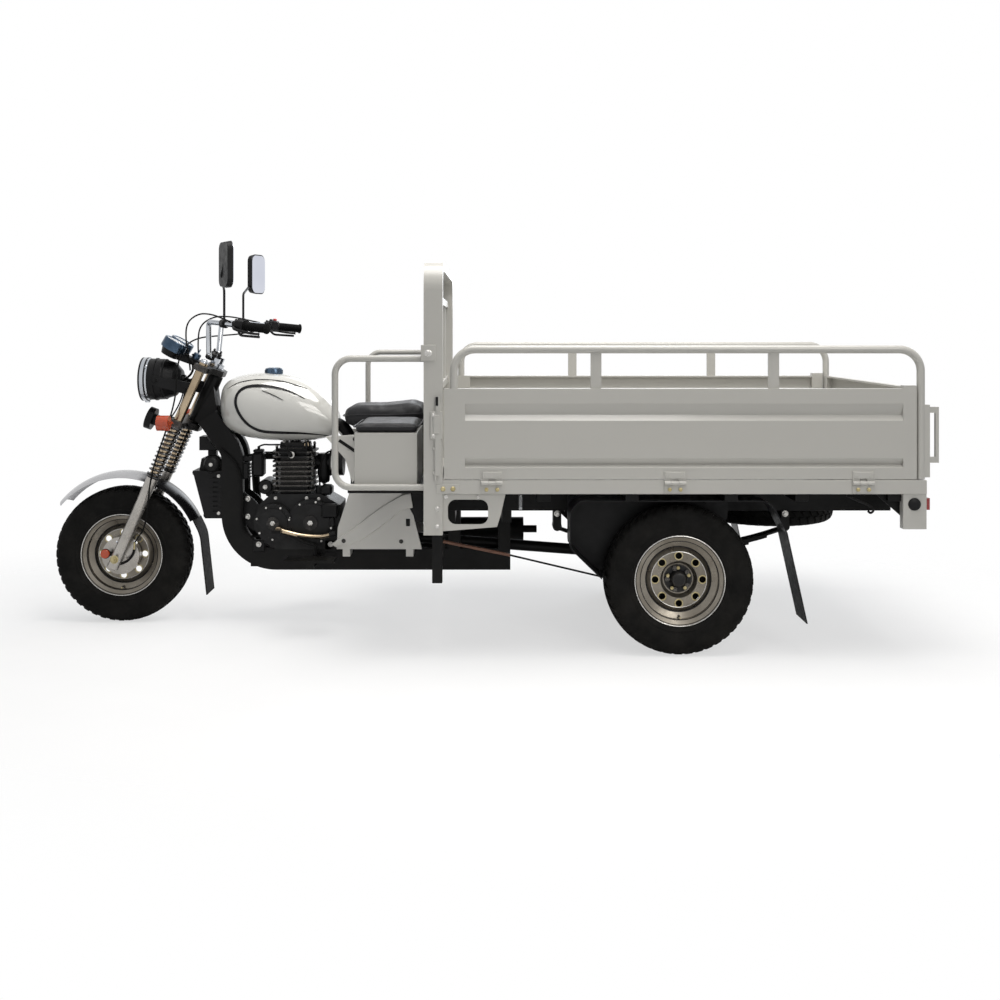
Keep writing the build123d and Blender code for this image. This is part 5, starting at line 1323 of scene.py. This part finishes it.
edge_widths = {
    0.0014: (
        "side_board_left", "side_board_right", "tailgate", "corner_brackets", "headboard_panel",
        "tail_brackets",
    ),
    0.0016: ("bed_floor", "bed_chassis"),
    0.0018: ("step_posts", "seat_platform", "fork_crowns"),
    0.002: ("side_boxes", "side_covers", "radiator"),
    0.0022: ("main_frame",),
}
for width, names in edge_widths.items():
    for name in names:
        weld = nodes[name].modifiers.new("weld", "WELD")
        weld.merge_threshold = 0.00001
        edge = nodes[name].modifiers.new("edges", "BEVEL")
        edge.width = width
        edge.segments = 2
        edge.limit_method = "ANGLE"
        edge.angle_limit = radians(38)
        edge.harden_normals = False


# Engine bay: mounting plates, head steady, canister, starter motor, and the hoses and leads between them

def engine_bay():
    dark, bright = Kit(), Kit()
    plate = ((0.985, 0.56), (0.985, 0.43), (0.93, 0.385), (0.89, 0.4), (0.885, 0.47), (0.93, 0.52))
    dark.rings([[(x, y, z) for x, z in plate] for y in (0.049, 0.055)])
    for x, z in ((0.955, 0.52), (0.955, 0.445), (0.905, 0.43)):
        bright.bolt((x, 0.055, z), left, 0.015, 0.008)
    dark.slab((0.762, 0.018, 0.786), (0.04, 0.005, 0.064), 0.001)
    for x in (0.69, 0.83):
        dark.rod((x, 0.062, 0.548), (x, 0.062, 0.744), 0.0055)
        bright.bolt((x, 0.062, 0.742), up, 0.011, 0.006)
    dark.mirror()
    bright.mirror()
    bright.bolt((0.762, 0.0205, 0.772), left, 0.014, 0.007)
    dark.slab((0.905, 0.066, 0.668), (0.052, 0.058, 0.104), 0.01)
    dark.slab((0.905, 0.066, 0.724), (0.04, 0.044, 0.012), 0.004)
    dark.rod((0.905, 0.069, 0.728), (0.904, 0.07, 0.742), 0.006, 12)
    dark.slab((0.955, 0.066, 0.69), (0.05, 0.006, 0.02), 0.001)
    dark.lathe(
        [(0.0, 0.06), (0.026, 0.06), (0.031, 0.055), (0.031, -0.058), (0.024, -0.064), (0.0, -0.064)],
        (0.88, 0, 0.57), left, 32,
    )
    bright.bolt((0.88, 0.06, 0.57), left, 0.012, 0.005)
    dark.slab((0.86, 0.045, 0.545), (0.036, 0.024, 0.03), 0.004)
    dark.lathe(
        [(0.0, 0.03), (0.014, 0.03), (0.018, 0.026), (0.018, -0.01), (0.0, -0.01)],
        (0.65, 0.06, 0.546), up, 24,
    )
    dark.slab((0.6, 0.118, 0.48), (0.07, 0.03, 0.06), 0.008)
    dark.slab((0.62, 0.06, 0.56), (0.05, 0.07, 0.04), 0.008)
    dark.piece("engine_bay_parts", "chassis", "black_plastic")
    bright.piece("engine_bay_bolts", "chassis", "chrome", steel)


engine_bay()

cable("lead_spark_plug", "chassis", 0.007, [
    (0.763, 0.148, 0.725), (0.768, 0.147, 0.748), (0.8, 0.128, 0.756), (0.85, 0.108, 0.752),
    (0.885, 0.086, 0.752), (0.904, 0.07, 0.741),
])
cable("hose_fuel", "chassis", 0.007, [
    (0.684, 0.078, 0.74), (0.679, 0.076, 0.712), (0.664, 0.062, 0.69), (0.656, 0.042, 0.682),
    (0.65, 0.028, 0.676),
])
cable("hose_coolant_top", "chassis", 0.024, [
    (1.066, 0.024, 0.668), (1.03, 0.022, 0.672), (0.99, 0.018, 0.684), (0.94, 0.012, 0.696),
    (0.89, 0.01, 0.698), (0.846, 0.01, 0.694),
])
cable("hose_coolant_low", "chassis", 0.024, [
    (1.066, 0.026, 0.47), (1.02, 0.024, 0.468), (0.97, 0.02, 0.476), (0.93, 0.014, 0.494), (0.9, 0.01, 0.5),
])
cable("hose_breather", "chassis", 0.0076, [
    (0.65, 0.06, 0.574), (0.65, 0.072, 0.612), (0.646, 0.088, 0.65), (0.636, 0.09, 0.69),
    (0.62, 0.078, 0.718), (0.602, 0.056, 0.722), (0.594, 0.037, 0.71),
])
cable("loom_down_beam", "chassis", 0.009, [
    (1.062, 0.086, 0.736), (1.03, 0.091, 0.712), (0.985, 0.091, 0.66), (0.972, 0.091, 0.59),
    (0.968, 0.091, 0.5), (0.975, 0.09, 0.43), (0.96, 0.088, 0.38), (0.918, 0.08, 0.36), (0.89, 0.072, 0.372),
])
cable("loom_lamp_left", "fork", 0.01, [
    (1.232, 0.02, 1.016), (1.216, 0.034, 1.026), (1.19, 0.046, 1.048), (1.182, 0.054, 1.08),
    (1.196, 0.056, 1.108), (1.216, 0.052, 1.128),
])
cable("loom_lamp_right", "fork", 0.01, [
    (1.232, -0.02, 1.01), (1.212, -0.036, 1.016), (1.186, -0.05, 1.04), (1.178, -0.056, 1.076),
    (1.196, -0.056, 1.106), (1.214, -0.05, 1.126),
])
cable("loom_horn", "fork", 0.008, [
    (1.232, 0.01, 1.0), (1.222, 0.03, 0.978), (1.226, 0.046, 0.94), (1.24, 0.048, 0.905), (1.252, 0.04, 0.88),
    (1.262, 0.026, 0.868),
])
cable("loom_indicator_left", "fork", 0.006, [
    (1.228, 0.03, 0.992), (1.222, 0.07, 0.96), (1.228, 0.12, 0.915), (1.24, 0.16, 0.88),
    (1.252, 0.176, 0.862),
])


# Splash panels between the rear wheels and the springs

def splash_panels():
    kit = Kit()
    outline = (
        (-0.369, 0.586), (-0.369, 0.414), (-0.486, 0.3), (-0.59, 0.3), (-0.64, 0.345), (-0.7, 0.395),
        (-0.86, 0.395), (-0.93, 0.43), (-0.985, 0.5), (-0.99, 0.586),
    )
    kit.rings([[(x, y, z) for x, z in outline] for y in (0.431, 0.4335)])
    for x, z in ((-0.42, 0.56), (-0.62, 0.568), (-0.9, 0.56)):
        kit.bolt((x, 0.4335, z), left, 0.01, 0.004)
    kit.tube([(x, 0.4322, z) for x, z in ((-0.369, 0.588), (-0.369, 0.412), (-0.486, 0.298))], 0.004, 8)
    kit.mirror()
    kit.piece("splash_panels", "chassis", "black_plastic")


splash_panels()


# Floor, surround and lamps

def make_floor():
    """A pale floor that fades out into a white surround."""
    size = 14.0
    mesh = bpy.data.meshes.new("floor")
    corners = [(-size, -size, 0), (size, -size, 0), (size, size, 0), (-size, size, 0)]
    mesh.from_pydata(corners, [], [[0, 1, 2, 3]])
    n = Surface("floor_pale")
    across = n.add("Mapping", {"Vector": n.place, "Scale": (0.3, 0.42, 1.0)})
    reach = n.add("VectorMath", {0: across}, operation="LENGTH").outputs["Value"]
    colour = n.mix(n.noise(3.0), 0.9, 0.93)
    diffuse = n.add("BsdfDiffuse", {"Color": colour})
    glow = n.add("Emission", {"Color": colour, "Strength": 1.06})
    seen = n.math("MULTIPLY", n.add("LightPath").outputs["Is Camera Ray"], 0.62)
    lit = n.add("MixShader", {0: seen, 1: diffuse, 2: glow})
    clear = n.add("BsdfTransparent")
    mesh.materials.append(n.close("MixShader", {0: n.spread(reach, 0.55, 1.05), 1: lit, 2: clear}))
    add_object("floor", mesh)


def make_world():
    """White to the camera and in mirrors, a dimmer cool white as light."""
    n = Nodes(bpy.data.worlds.new("surround"), "OutputWorld")
    lit = n.add("Background", {0: (0.93, 0.96, 1.0, 1), 1: 0.3})
    seen = n.add("Background", {0: (1, 1, 1, 1), 1: 1.0})
    path = n.add("LightPath")
    shown = path.outputs["Is Camera Ray"]
    for ray in ("Is Glossy Ray", "Is Transmission Ray"):
        shown = n.math("MAXIMUM", shown, path.outputs[ray])
    scene.world = n.close("MixShader", {0: shown, 1: lit, 2: seen})


def make_lamps():
    target = Vector((0, 0, 0.6))
    # Columns: name, place, size, power, colour
    for name, place, size, power, colour in (
        ("lamp_top", (-0.6, 0.6, 4.6), 3.2, 225, (1.0, 0.98, 0.95)),
        ("lamp_camera_side", (-2.6, 5.2, 3.4), 2.4, 84, (1.0, 0.97, 0.93)),
        ("lamp_behind", (-1.0, -4.6, 3.0), 3.5, 90, (0.9, 0.95, 1.0)),
    ):
        data = bpy.data.lights.new(name, "AREA")
        data.size = size
        data.energy = power
        data.color = colour
        made = add_object(name, data)
        made.location = place
        made.rotation_mode = "QUATERNION"
        made.rotation_quaternion = (target - Vector(place)).to_track_quat("-Z", "Y")


make_floor()
make_world()
make_lamps()
